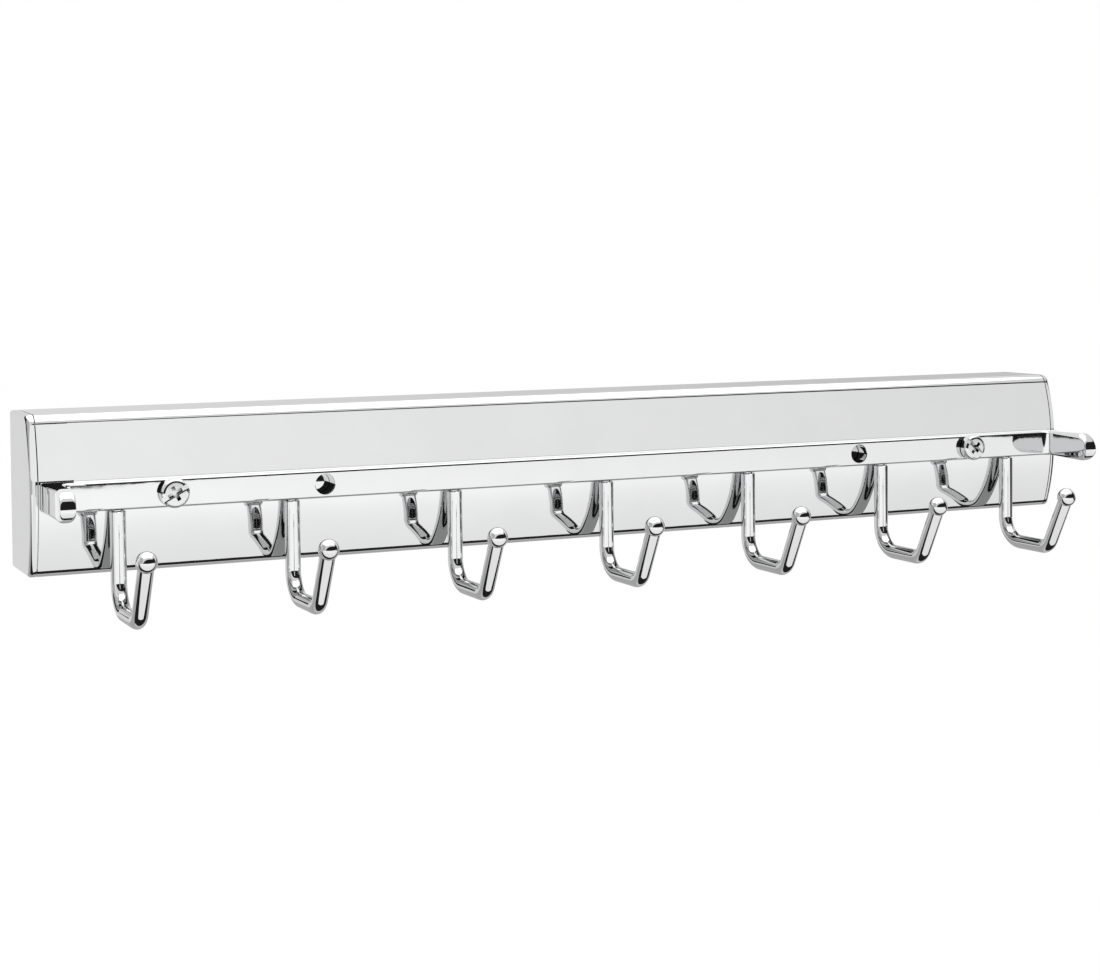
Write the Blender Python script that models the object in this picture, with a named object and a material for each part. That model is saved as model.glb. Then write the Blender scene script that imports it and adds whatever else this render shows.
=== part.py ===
"""Pull-out belt rack for the side panel of a wardrobe.

A chromed cover with a rail of seven hooks rides on a ball-bearing slide that is screwed to the panel.
The panel is the plane y = 0, the rack stands out of it along -y, and it is pulled out along -x.
Lengths are millimetres in this script, and MM turns them into metres where a mesh is made.
"""

import math

import bmesh
import bpy
from mathutils import Matrix, Vector

MM = 0.001

# Clearances
SEAT_GAP = 0.3
SCREW_CLEARANCE = 0.3
STUB_CLEARANCE = 0.3
WALL_CLEARANCE = 1.0

# Ball-bearing slide
SLIDE_LENGTH = 330.0
SLIDE_WIDTH = 35.0
SHEET = 1.0
BEND_RADIUS = 1.5
RACE_BALL_DIAMETER = 3.0
RACE_CLEARANCE = 0.2
RACE_FLAT = 1.0
RACE_TILT = math.radians(30)
OUTER_LIP_ANGLE = math.radians(28)
INNER_LIP_ANGLE = math.radians(235)
INNER_FLANGE_FLAT = 1.9
MOUNT_HOLE_DIAMETER = 4.5
MOUNT_HOLE_INSET = 25.0
ACCESS_HOLE_DIAMETER = 8.5

# Ball cages
CAGE_LENGTH = 140.0
CAGE_SHEET = 0.4
CAGE_CLEARANCE = 0.3
CAGE_OVERHANG = 0.9
CAGE_END_MARGIN = 6.0
BALLS_PER_ROW = 8

# Rubber bumpers that the members close against
BUMPER_LENGTH = 6.0
BUMPER_HEIGHT = 16.0
BUMPER_DEPTH = 6.5
BUMPER_STEM_DIAMETER = 3.0
BUMPER_EDGE = 0.8

# Chromed cover, and the caps that close its ends
COVER_SIDE_ROOM = 3.4
COVER_END_ROOM = 9.2
COVER_WALL = 1.8
COVER_FACE_RADIUS = 62.0
COVER_FACE_STEPS = 16
TOP_EDGE_RADIUS = 3.5
BOTTOM_EDGE_RADIUS = 2.3
END_EDGE_RADIUS = 1.6
DEPTH_EDGE_RADIUS = 1.0
COVER_EDGE_STEPS = 5
BOSS_LENGTH = 13.8
BOSS_DIAMETER = 9.0
CAP_LENGTH = 2.1
CAP_PLATE = 1.9
COLLAR_WALL = 1.5
COLLAR_LENGTH = 5.5
SLIDE_NOTCH_ROOM = 0.9

# Hook rail with its two pull arms
RAIL_HEIGHT = 8.3
RAIL_THICKNESS = 4.6
RAIL_EDGE_RADIUS = 0.5
RAIL_INSET = 1.25
ARM_WIDTH = 4.8
ARM_REACH = 19.8
ARM_FILLET = 2.5
NOSE_DROP = 0.9
NOSE_RISE = 0.3
NOSE_UNDER_RADIUS = 2.1
NOSE_TOP_RADIUS = 1.9
NOSE_LENGTH = 4.5
NOSE_TIP_DROP = 0.95
NOSE_START = math.radians(10)
NOSE_STEPS = 7
NOSE_SIDE_ROUND = 0.35
RAIL_HOLE_DIAMETER = 5.8
LEFT_HOLE_MARGIN = 80.9
RIGHT_HOLE_MARGIN = 81.5

# Hooks
HOOK_COUNT = 7
HOOK_END_MARGIN = 20.75
ROD_DIAMETER = 4.5
ROD_CHAMFER = 0.3
BALL_DIAMETER = 6.0
HOOK_DROP = 28.3
HOOK_REACH = 32.1
BALL_HEIGHT = 17.5
TIP_LEAN = math.radians(28)
REAR_BEND_RADIUS = 8.0
FRONT_BEND_RADIUS = 5.0
STUB_DIAMETER = 2.6
STUB_LENGTH = 5.5

# Rail screws with their washers and nuts
SCREW_DIAMETER = 4.0
LEFT_SCREW_MARGIN = 36.0
RIGHT_SCREW_MARGIN = 37.1
SCREW_TIP = 1.5
HEAD_DIAMETER = 8.4
HEAD_HEIGHT = 2.8
HEAD_RIM = 1.5
LEFT_RECESS_ANGLE = math.radians(28)
RIGHT_RECESS_ANGLE = math.radians(-42)
SLOT_WIDTH = 1.6
SLOT_DEPTH = 0.9
CROSS_WIDTH = 1.1
CROSS_DEPTH = 1.9
CROSS_LENGTH = 4.4
WASHER_DIAMETER = 8.0
WASHER_THICKNESS = 0.8
NUT_FLATS = 7.0
NUT_HEIGHT = 3.2

# Facets
ROD_SIDES = 14
HOLE_SIDES = 24
TURNED_SIDES = 28
SHARP_ANGLE = math.radians(40)

# Slide section: depth is measured out from the panel, height from the slide's middle
RACE_RADIUS = RACE_BALL_DIAMETER / 2 + RACE_CLEARANCE + SHEET / 2
OUTER_WEB_DEPTH = SHEET / 2
OUTER_CAGE_DEPTH = SHEET + CAGE_CLEARANCE + CAGE_SHEET / 2
MIDDLE_WEB_DEPTH = OUTER_CAGE_DEPTH + CAGE_SHEET / 2 + CAGE_CLEARANCE + SHEET / 2
INNER_CAGE_DEPTH = MIDDLE_WEB_DEPTH + SHEET / 2 + CAGE_CLEARANCE + CAGE_SHEET / 2
OUTER_FLANGE_HEIGHT = SLIDE_WIDTH / 2 - SHEET / 2
OUTER_RACE = Vector((MIDDLE_WEB_DEPTH + BEND_RADIUS + RACE_FLAT, OUTER_FLANGE_HEIGHT - RACE_RADIUS))
INNER_RACE = OUTER_RACE + 2 * RACE_RADIUS * Vector((math.cos(RACE_TILT), -math.sin(RACE_TILT)))
MIDDLE_FLANGE_HEIGHT = OUTER_RACE.y - RACE_RADIUS
INNER_FLANGE_HEIGHT = INNER_RACE.y - RACE_RADIUS
INNER_WEB_DEPTH = INNER_RACE.x + INNER_FLANGE_FLAT + BEND_RADIUS
SLIDE_THICKNESS = INNER_WEB_DEPTH + SHEET / 2
INNER_LIP_TOP = INNER_RACE.y + (RACE_RADIUS - SHEET / 2) * math.sin(INNER_LIP_ANGLE)
INNER_CAGE_HEIGHT = (MIDDLE_FLANGE_HEIGHT - SHEET / 2 + INNER_LIP_TOP) / 2

# Lengthwise places: the members start together at the pull end and stop short by a bumper each
SLIDE_START = -SLIDE_LENGTH / 2
OUTER_END = SLIDE_LENGTH / 2
MIDDLE_END = OUTER_END - BUMPER_LENGTH - SEAT_GAP
INNER_END = MIDDLE_END - BUMPER_LENGTH - SEAT_GAP

# Depths of the cover, the rail and the hooks
BOSS_FOOT_DEPTH = SLIDE_THICKNESS + SEAT_GAP
COVER_FRONT_DEPTH = BOSS_FOOT_DEPTH + BOSS_LENGTH + COVER_WALL
RAIL_REAR_DEPTH = COVER_FRONT_DEPTH + SEAT_GAP
RAIL_FRONT_DEPTH = RAIL_REAR_DEPTH + RAIL_THICKNESS
HOOK_DEPTH = RAIL_REAR_DEPTH + RAIL_THICKNESS / 2
ARM_FRONT_DEPTH = RAIL_FRONT_DEPTH + ARM_REACH

# Lengths and heights that follow
COVER_HEIGHT = SLIDE_WIDTH + 2 * (COVER_SIDE_ROOM + COVER_WALL)
COVER_LENGTH = SLIDE_LENGTH + 2 * (COVER_END_ROOM + COVER_WALL)
RAIL_END = COVER_LENGTH / 2 - END_EDGE_RADIUS - RAIL_INSET
HOOK_SPAN = 2 * (RAIL_END - HOOK_END_MARGIN)
LEFT_SCREW_X = LEFT_SCREW_MARGIN - RAIL_END
RIGHT_SCREW_X = RAIL_END - RIGHT_SCREW_MARGIN
LEFT_HOLE_X = LEFT_HOLE_MARGIN - RAIL_END
RIGHT_HOLE_X = RAIL_END - RIGHT_HOLE_MARGIN
SCREW_BORE = SCREW_DIAMETER + 2 * SCREW_CLEARANCE

CHROME = ((0.88, 0.89, 0.90, 1.0), 1.0, 0.05)
ZINC = ((0.60, 0.62, 0.64, 1.0), 1.0, 0.28)
CAGE_STEEL = ((0.42, 0.43, 0.45, 1.0), 1.0, 0.35)
RUBBER = ((0.03, 0.03, 0.03, 1.0), 0.0, 0.7)


def clear_scene():
    for obj in list(bpy.data.objects):
        bpy.data.objects.remove(obj)


def place(x, depth, height):
    """A point in metres, given along the rack, out from the panel and up from the rack's middle."""
    return Vector((x, -depth, height)) * MM


def finish_of(name, finish):
    colour, metallic, roughness = finish
    material = bpy.data.materials.new(name)
    material.use_nodes = True
    shader = material.node_tree.nodes["Principled BSDF"]
    shader.inputs["Base Color"].default_value = colour
    shader.inputs["Metallic"].default_value = metallic
    shader.inputs["Roughness"].default_value = roughness
    return material


def add_object(name, mesh, finish, origin, parent):
    obj = bpy.data.objects.new(name, mesh)
    bpy.context.scene.collection.objects.link(obj)
    obj.data.materials.clear()
    obj.data.materials.append(finish_of(name, finish))
    obj.location = origin
    if parent:
        obj.parent = parent
        obj.location = origin - parent.location
    return obj


def add_cutter(name, mesh):
    obj = bpy.data.objects.new(name, mesh)
    bpy.context.scene.collection.objects.link(obj)
    obj.hide_render = True
    obj.display_type = "WIRE"
    return obj


def combine(obj, other, operation):
    modifier = obj.modifiers.new(other.name, "BOOLEAN")
    modifier.operation = operation
    modifier.solver = "EXACT"
    modifier.object = other


def mesh_from(name, bm):
    """The finished mesh of a bmesh, shaded smooth except over its sharp edges."""
    bmesh.ops.recalc_face_normals(bm, faces=bm.faces)
    mesh = bpy.data.meshes.new(name)
    bm.to_mesh(mesh)
    bm.free()
    mesh.shade_smooth()
    mesh.set_sharp_from_angle(angle=SHARP_ANGLE)
    return mesh


def loft(name, rings):
    """One closed skin over rings of the same number of points, with flat ends."""
    bm = bmesh.new()
    rows = [[bm.verts.new(point) for point in ring] for ring in rings]
    count = len(rows[0])
    for row, following in zip(rows, rows[1:]):
        for i in range(count):
            j = (i + 1) % count
            bm.faces.new((row[i], row[j], following[j], following[i]))
    bm.faces.new(rows[0])
    bm.faces.new(reversed(rows[-1]))
    return mesh_from(name, bm)


def circle(centre, radius, across, up, sides):
    steps = [2 * math.pi * i / sides for i in range(sides)]
    return [centre + radius * (math.cos(a) * across + math.sin(a) * up) for a in steps]


def turned(name, profile, sides):
    """A piece turned about the y axis, from (radius, depth) pairs measured out from its origin."""
    across = Vector((1, 0, 0))
    up = Vector((0, 0, 1))
    rings = [circle(place(0, depth, 0), radius * MM, across, up, sides) for radius, depth in profile]
    return loft(name, rings)


def bore(name, x, depths, diameter, sides=HOLE_SIDES):
    """A round bar that runs out from the panel at mid-height, for a hole or a boss."""
    ring = [(diameter / 2, depth) for depth in depths]
    cutter = add_cutter(name, turned(name, ring, sides))
    cutter.location = place(x, 0, 0)
    return cutter


def block(name, low, high):
    """A plain box between two (x, depth, height) corners."""
    bm = bmesh.new()
    bmesh.ops.create_cube(bm, size=1.0)
    size = [b - a for a, b in zip(low, high)]
    middle = [(a + b) / 2 for a, b in zip(low, high)]
    bmesh.ops.scale(bm, vec=Vector(size) * MM, verts=bm.verts)
    bmesh.ops.translate(bm, vec=place(*middle), verts=bm.verts)
    return mesh_from(name, bm)


def arc(centre, radius, start, end, steps):
    """Points on an arc in a flat section, from one angle to another."""
    angles = [start + (end - start) * i / steps for i in range(steps + 1)]
    return [centre + radius * Vector((math.cos(a), math.sin(a))) for a in angles]


def strip(name, half, sheet, start, end):
    """A formed strip: half a section's middle line, mirrored, thickened and drawn out along the rack."""
    line = half + [Vector((p.x, -p.y)) for p in reversed(half)]
    sides = []
    for i, point in enumerate(line):
        before = line[max(i - 1, 0)]
        after = line[min(i + 1, len(line) - 1)]
        along = (after - before).normalized()
        sides.append((point, Vector((-along.y, along.x)) * sheet / 2))
    outline = [p + n for p, n in sides] + [p - n for p, n in reversed(sides)]
    return loft(name, [[place(x, p.x, p.y) for p in outline] for x in (start, end)])


def bend(web_depth, flange_height, towards):
    """The rounded corner between a flange and its web, which lies to the left (-1) or right (1) of it."""
    centre = Vector((web_depth - towards * BEND_RADIUS, flange_height - BEND_RADIUS))
    return arc(centre, BEND_RADIUS, math.pi / 2, math.pi / 2 * (1 - towards), 4)


def outer_line():
    lip = arc(OUTER_RACE, RACE_RADIUS, OUTER_LIP_ANGLE, math.pi / 2, 5)
    return lip + bend(OUTER_WEB_DEPTH, OUTER_FLANGE_HEIGHT, -1)


def middle_line():
    over = arc(INNER_RACE, RACE_RADIUS, OUTER_LIP_ANGLE, math.pi - RACE_TILT, 8)
    under = arc(OUTER_RACE, RACE_RADIUS, 2 * math.pi - RACE_TILT, 1.5 * math.pi, 4)
    return over + under[1:] + bend(MIDDLE_WEB_DEPTH, MIDDLE_FLANGE_HEIGHT, -1)


def inner_line():
    under = arc(INNER_RACE, RACE_RADIUS, INNER_LIP_ANGLE, 1.5 * math.pi, 3)
    return under + bend(INNER_WEB_DEPTH, INNER_FLANGE_HEIGHT, 1)


def cage_line(web_depth, race_depth, height):
    edge = Vector((race_depth + CAGE_OVERHANG, height))
    return [edge] + bend(web_depth, height, -1)


def ball_rows(name, race):
    """The balls of the upper and lower row of a cage, as one cutter mesh of separate spheres."""
    bm = bmesh.new()
    first = CAGE_END_MARGIN - CAGE_LENGTH / 2
    pitch = -2 * first / (BALLS_PER_ROW - 1)
    for row in (-1, 1):
        for i in range(BALLS_PER_ROW):
            at = place(first + i * pitch, race.x, row * race.y)
            radius = RACE_BALL_DIAMETER / 2 * MM
            bmesh.ops.create_icosphere(bm, subdivisions=1, radius=radius, matrix=Matrix.Translation(at))
    return add_cutter(name, mesh_from(name, bm))


def add_cage(name, web_depth, race, height, parent):
    mesh = strip(name, cage_line(web_depth, race.x, height), CAGE_SHEET, -CAGE_LENGTH / 2, CAGE_LENGTH / 2)
    cage = add_object(name, mesh, CAGE_STEEL, Vector(), parent)
    combine(cage, ball_rows(name + "_balls", race), "UNION")


def add_bumper(name, seat_depth, end, parent):
    """A rubber block on a web, at the closing end of a member, with a stem that plugs into the web."""
    low = (end - BUMPER_LENGTH, seat_depth + SEAT_GAP, -BUMPER_HEIGHT / 2)
    high = (end, seat_depth + SEAT_GAP + BUMPER_DEPTH, BUMPER_HEIGHT / 2)
    bumper = add_object(name, block(name, low, high), RUBBER, Vector(), parent)
    rounding = bumper.modifiers.new("rounding", "BEVEL")
    rounding.width = BUMPER_EDGE * MM
    rounding.segments = 2
    stem_depths = (seat_depth + SEAT_GAP + BUMPER_DEPTH / 2, seat_depth - SHEET + SEAT_GAP)
    stem = bore(name + "_stem", end - BUMPER_LENGTH / 2, stem_depths, BUMPER_STEM_DIAMETER, sides=12)
    combine(bumper, stem, "UNION")


def drill(obj, x, web_depth, diameter):
    depths = (web_depth + SHEET, web_depth - SHEET)
    combine(obj, bore(f"{obj.name}_hole_{x:.0f}", x, depths, diameter, sides=16), "DIFFERENCE")


def add_slide(bodies):
    stem_hole = BUMPER_STEM_DIAMETER + 2 * STUB_CLEARANCE
    mount_x = SLIDE_LENGTH / 2 - MOUNT_HOLE_INSET

    mesh = strip("slide_outer_member", outer_line(), SHEET, SLIDE_START, OUTER_END)
    outer = add_object("slide_outer_member", mesh, ZINC, Vector(), None)
    mesh = strip("slide_middle_member", middle_line(), SHEET, SLIDE_START, MIDDLE_END)
    middle = add_object("slide_middle_member", mesh, ZINC, Vector(), bodies["slide_middle"])
    mesh = strip("slide_inner_member", inner_line(), SHEET, SLIDE_START, INNER_END)
    inner = add_object("slide_inner_member", mesh, ZINC, Vector(), bodies["rack"])

    for x in (-mount_x, -mount_x / 2, mount_x / 2, mount_x):
        drill(outer, x, OUTER_WEB_DEPTH, MOUNT_HOLE_DIAMETER)
    for x in (-mount_x, -mount_x / 2, mount_x / 2):
        drill(middle, x, MIDDLE_WEB_DEPTH, ACCESS_HOLE_DIAMETER)
    for x in (LEFT_SCREW_X, RIGHT_SCREW_X):
        drill(inner, x, INNER_WEB_DEPTH, SCREW_BORE)
    drill(outer, OUTER_END - BUMPER_LENGTH / 2, OUTER_WEB_DEPTH, stem_hole)
    drill(middle, MIDDLE_END - BUMPER_LENGTH / 2, MIDDLE_WEB_DEPTH, stem_hole)

    add_bumper("outer_bumper", OUTER_WEB_DEPTH + SHEET / 2, OUTER_END, None)
    add_bumper("middle_bumper", MIDDLE_WEB_DEPTH + SHEET / 2, MIDDLE_END, bodies["slide_middle"])
    add_cage("outer_ball_cage", OUTER_CAGE_DEPTH, OUTER_RACE, OUTER_RACE.y, bodies["outer_cage"])
    add_cage("inner_ball_cage", INNER_CAGE_DEPTH, INNER_RACE, INNER_CAGE_HEIGHT, bodies["inner_cage"])


def edge_angle(radius):
    """How far the face of the cover turns away from the front before an edge of this radius takes over."""
    return math.asin((COVER_HEIGHT / 2 - radius) / (COVER_FACE_RADIUS - radius))


def cover_edge(radius, side):
    """(point, outward way, share) from the back of the top (1) or bottom (-1) wall round to the face."""
    face_angle = edge_angle(radius)
    reach = COVER_FACE_RADIUS - radius
    face_centre = Vector((COVER_FRONT_DEPTH - COVER_FACE_RADIUS, 0))
    centre = face_centre + reach * Vector((math.cos(face_angle), side * math.sin(face_angle)))
    rows = [(Vector((WALL_CLEARANCE, side * COVER_HEIGHT / 2)), Vector((0, side)), 0.0)]
    for i in range(COVER_EDGE_STEPS):
        share = i / COVER_EDGE_STEPS
        angle = math.pi / 2 + (face_angle - math.pi / 2) * share
        way = Vector((math.cos(angle), side * math.sin(angle)))
        rows.append((centre + radius * way, way, share))
    return rows


def cover_profile():
    """(point, outward way, share) round the cover's section; the share is 0 on a wall and 1 on the face."""
    face_centre = Vector((COVER_FRONT_DEPTH - COVER_FACE_RADIUS, 0))
    start = edge_angle(TOP_EDGE_RADIUS)
    end = -edge_angle(BOTTOM_EDGE_RADIUS)
    face = []
    for i in range(COVER_FACE_STEPS + 1):
        angle = start + (end - start) * i / COVER_FACE_STEPS
        way = Vector((math.cos(angle), math.sin(angle)))
        face.append((face_centre + COVER_FACE_RADIUS * way, way, 1.0))
    return cover_edge(TOP_EDGE_RADIUS, 1) + face + cover_edge(BOTTOM_EDGE_RADIUS, -1)[::-1]


def hollow_section(inset, back):
    """The section of the cover's hollow, made smaller all round and open towards the panel."""
    half = COVER_HEIGHT / 2 - COVER_WALL - inset
    radius = COVER_FACE_RADIUS - COVER_WALL - inset
    centre = Vector((COVER_FRONT_DEPTH - COVER_FACE_RADIUS, 0))
    face_angle = math.asin(half / radius)
    section = arc(centre, radius, -face_angle, face_angle, COVER_FACE_STEPS)
    return [Vector((back, -half))] + section + [Vector((back, half))]


def prism(name, section, start, end):
    """A cutter or added piece of one section that runs along the rack."""
    rings = [[place(x, p.x, p.y) for p in section] for x in (start, end)]
    return add_cutter(name, loft(name, rings))


def add_cover(parent):
    end = COVER_LENGTH / 2 - CAP_LENGTH - SEAT_GAP
    rings = [[place(x, point.x, point.y) for point, _, _ in cover_profile()] for x in (-end, end)]
    cover = add_object("cover", loft("cover", rings), CHROME, Vector(), parent)
    hollow = prism("cover_hollow", hollow_section(0, -WALL_CLEARANCE), -COVER_LENGTH / 2, COVER_LENGTH / 2)
    combine(cover, hollow, "DIFFERENCE")

    wall_middle = COVER_FRONT_DEPTH - COVER_WALL / 2
    for side, x in (("left", LEFT_SCREW_X), ("right", RIGHT_SCREW_X)):
        boss = bore(f"cover_boss_{side}", x, (wall_middle, BOSS_FOOT_DEPTH), BOSS_DIAMETER)
        combine(cover, boss, "UNION")
    for side, x in (("left", LEFT_SCREW_X), ("right", RIGHT_SCREW_X)):
        depths = (COVER_FRONT_DEPTH + COVER_WALL, BOSS_FOOT_DEPTH - COVER_WALL)
        combine(cover, bore(f"cover_bore_{side}", x, depths, SCREW_BORE), "DIFFERENCE")


def cap_ring(turn, side):
    """The outline of a cap where its rounding has turned so far, up to a quarter turn on the end face."""
    ring = []
    for point, way, share in cover_profile():
        radius = DEPTH_EDGE_RADIUS + (END_EDGE_RADIUS - DEPTH_EDGE_RADIUS) * share
        inset = point - way * radius * (1 - math.cos(turn))
        x = side * (COVER_LENGTH / 2 - radius * (1 - math.sin(turn)))
        ring.append(place(x, inset.x, inset.y))
    return ring


def add_end_cap(name, side, parent):
    """A rounded plate on an end of the cover, with a collar that plugs into the cover's hollow."""
    seam = side * (COVER_LENGTH / 2 - CAP_LENGTH)
    plate_back = side * (COVER_LENGTH / 2 - CAP_PLATE)
    collar_end = seam - side * COLLAR_LENGTH
    turns = [math.pi / 2 * i / COVER_EDGE_STEPS for i in range(COVER_EDGE_STEPS + 1)]
    rings = [[place(seam, point.x, point.y) for point, _, _ in cover_profile()]]
    rings += [cap_ring(turn, side) for turn in turns]
    cap = add_object(name, loft(name, rings), CHROME, Vector(), parent)

    plate_middle = side * (COVER_LENGTH / 2 - CAP_LENGTH / 2)
    collar = prism(name + "_collar", hollow_section(SEAT_GAP, WALL_CLEARANCE), collar_end, plate_middle)
    combine(cap, collar, "UNION")
    room = hollow_section(SEAT_GAP + COLLAR_WALL, -WALL_CLEARANCE)
    combine(cap, prism(name + "_room", room, collar_end - side * COLLAR_LENGTH, plate_back), "DIFFERENCE")
    return cap


def add_end_caps(parent):
    add_end_cap("end_cap_left", -1, parent)
    cap = add_end_cap("end_cap_right", 1, parent)
    notch_half = SLIDE_WIDTH / 2 + SLIDE_NOTCH_ROOM
    low = (COVER_LENGTH / 2 - 2 * CAP_LENGTH, -SLIDE_NOTCH_ROOM, -notch_half)
    high = (COVER_LENGTH / 2 + CAP_LENGTH, SLIDE_THICKNESS + SLIDE_NOTCH_ROOM, notch_half)
    combine(cap, add_cutter("end_cap_notch", block("end_cap_notch", low, high)), "DIFFERENCE")


def rounded_upright(inner, outer, bottom, top, bottom_radius, top_radius):
    """A rounded rectangle that stands between two (x, depth) points of a plan, as a ring of points."""
    width = (outer - inner).length
    across = (outer - inner) / width
    corners = (
        (bottom_radius, bottom + bottom_radius, bottom_radius, math.pi),
        (width - bottom_radius, bottom + bottom_radius, bottom_radius, 1.5 * math.pi),
        (width - top_radius, top - top_radius, top_radius, 0.0),
        (top_radius, top - top_radius, top_radius, 0.5 * math.pi),
    )
    ring = []
    for along, height, radius, start in corners:
        for p in arc(Vector((along, height)), radius, start, start + math.pi / 2, 4):
            plan = inner + across * p.x
            ring.append(place(plan.x, plan.y, p.y))
    return ring


def arm_rings():
    """Rings from the round nose of the arm at the far end of the rail back to the start of its fillet."""
    arm_inner = RAIL_END - ARM_WIDTH
    reach = ARM_REACH - ARM_FILLET
    turns = [NOSE_START + (math.pi / 2 - NOSE_START) * i / NOSE_STEPS for i in range(NOSE_STEPS + 1)]
    stations = [(NOSE_LENGTH * (1 - math.cos(turn)), math.sin(turn)) for turn in turns]
    stations += [(NOSE_LENGTH + (reach - NOSE_LENGTH) * share, 1.0) for share in (0.33, 0.67)]
    rings = []
    for behind, fullness in stations:
        along = 1 - behind / reach
        bottom = -RAIL_HEIGHT / 2 - NOSE_DROP * along
        top = RAIL_HEIGHT / 2 + NOSE_RISE * along
        tip = (bottom + top) / 2 - NOSE_TIP_DROP
        side = NOSE_SIDE_ROUND * (1 - fullness)
        under = RAIL_EDGE_RADIUS + (NOSE_UNDER_RADIUS - RAIL_EDGE_RADIUS) * along
        over = RAIL_EDGE_RADIUS + (NOSE_TOP_RADIUS - RAIL_EDGE_RADIUS) * along
        depth = ARM_FRONT_DEPTH - behind
        ring = rounded_upright(
            Vector((arm_inner + side, depth)),
            Vector((RAIL_END - side, depth)),
            tip + (bottom - tip) * fullness,
            tip + (top - tip) * fullness,
            under * fullness,
            over * fullness,
        )
        rings.append(ring)
    return rings


def corner_rings():
    """Rings round the corner between an arm and the rail, filleted inside and square outside."""
    steps = 6
    centre = Vector((RAIL_END - ARM_WIDTH - ARM_FILLET, RAIL_FRONT_DEPTH + ARM_FILLET))
    rings = []
    for i, inner in enumerate(arc(centre, ARM_FILLET, 0.0, -math.pi / 2, steps)):
        share = i / steps
        if share <= 0.5:
            outer = Vector((RAIL_END, centre.y + (RAIL_REAR_DEPTH - centre.y) * 2 * share))
        else:
            outer = Vector((RAIL_END + (centre.x - RAIL_END) * (2 * share - 1), RAIL_REAR_DEPTH))
        ring = rounded_upright(
            inner, outer, -RAIL_HEIGHT / 2, RAIL_HEIGHT / 2, RAIL_EDGE_RADIUS, RAIL_EDGE_RADIUS
        )
        rings.append(ring)
    return rings


def add_rail(parent):
    half = arm_rings() + corner_rings()
    mirrored = [[Vector((-p.x, p.y, p.z)) for p in ring] for ring in reversed(half)]
    rail = add_object("hook_rail", loft("hook_rail", half + mirrored), CHROME, Vector(), parent)
    through = (RAIL_FRONT_DEPTH + RAIL_THICKNESS, RAIL_REAR_DEPTH - RAIL_THICKNESS)
    holes = (("left", LEFT_SCREW_X, LEFT_HOLE_X), ("right", RIGHT_SCREW_X, RIGHT_HOLE_X))
    for side, screw_x, hole_x in holes:
        combine(rail, bore(f"rail_screw_hole_{side}", screw_x, through, SCREW_BORE), "DIFFERENCE")
        combine(rail, bore(f"rail_plain_hole_{side}", hole_x, through, RAIL_HOLE_DIAMETER), "DIFFERENCE")
    across = Vector((1, 0, 0))
    out = Vector((0, -1, 0))
    radius = (STUB_DIAMETER / 2 + STUB_CLEARANCE) * MM
    below = -RAIL_HEIGHT / 2 - STUB_LENGTH
    above = -RAIL_HEIGHT / 2 + STUB_LENGTH + STUB_CLEARANCE
    for number, x in hook_places():
        rings = [circle(place(x, HOOK_DEPTH, height), radius, across, out, 12) for height in (below, above)]
        socket = add_cutter(f"rail_socket_{number}", loft(f"rail_socket_{number}", rings))
        combine(rail, socket, "DIFFERENCE")


def hook_places():
    pitch = HOOK_SPAN / (HOOK_COUNT - 1)
    return [(i + 1, i * pitch - HOOK_SPAN / 2) for i in range(HOOK_COUNT)]


def hook_path():
    """(point, heading, radius) along a hook from stub to ball; heading 0 is down, a quarter turn is out."""
    rod = ROD_DIAMETER / 2
    tip_heading = math.pi - TIP_LEAN
    toe = Vector((HOOK_REACH - BALL_HEIGHT * math.tan(TIP_LEAN), -HOOK_DROP))
    tip_way = Vector((math.sin(TIP_LEAN), math.cos(TIP_LEAN)))
    ball = toe + tip_way * BALL_HEIGHT / math.cos(TIP_LEAN)
    front_start = toe.x - FRONT_BEND_RADIUS * math.tan((tip_heading - math.pi / 2) / 2)

    path = [
        (Vector((0, STUB_LENGTH)), 0.0, STUB_DIAMETER / 2),
        (Vector((0, -SEAT_GAP)), 0.0, STUB_DIAMETER / 2),
        (Vector((0, -SEAT_GAP)), 0.0, rod - ROD_CHAMFER),
        (Vector((0, -SEAT_GAP - ROD_CHAMFER)), 0.0, rod),
    ]
    rear_centre = Vector((REAR_BEND_RADIUS, REAR_BEND_RADIUS - HOOK_DROP))
    rear = arc(rear_centre, REAR_BEND_RADIUS, math.pi, 1.5 * math.pi, 8)
    path += [(p, math.pi / 2 * i / 8, rod) for i, p in enumerate(rear)]
    front_centre = Vector((front_start, FRONT_BEND_RADIUS - HOOK_DROP))
    front = arc(front_centre, FRONT_BEND_RADIUS, 1.5 * math.pi, math.pi + tip_heading, 6)
    turn = tip_heading - math.pi / 2
    path += [(p, math.pi / 2 + turn * i / 6, rod) for i, p in enumerate(front)]
    ball_radius = BALL_DIAMETER / 2
    neck = math.asin(rod / ball_radius)
    crown = math.radians(168)
    for i in range(9):
        angle = neck + (crown - neck) * i / 8
        point = ball - tip_way * ball_radius * math.cos(angle)
        path.append((point, tip_heading, ball_radius * math.sin(angle)))
    return path


def add_hooks(parent):
    across = Vector((1, 0, 0))
    rings = []
    for point, heading, radius in hook_path():
        up = Vector((0, -math.cos(heading), math.sin(heading)))
        rings.append(circle(place(0, point.x, point.y), radius * MM, across, up, ROD_SIDES))
    for number, x in hook_places():
        mesh = loft(f"hook_{number}", rings)
        add_object(f"hook_{number}", mesh, CHROME, place(x, HOOK_DEPTH, -RAIL_HEIGHT / 2), parent)


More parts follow.
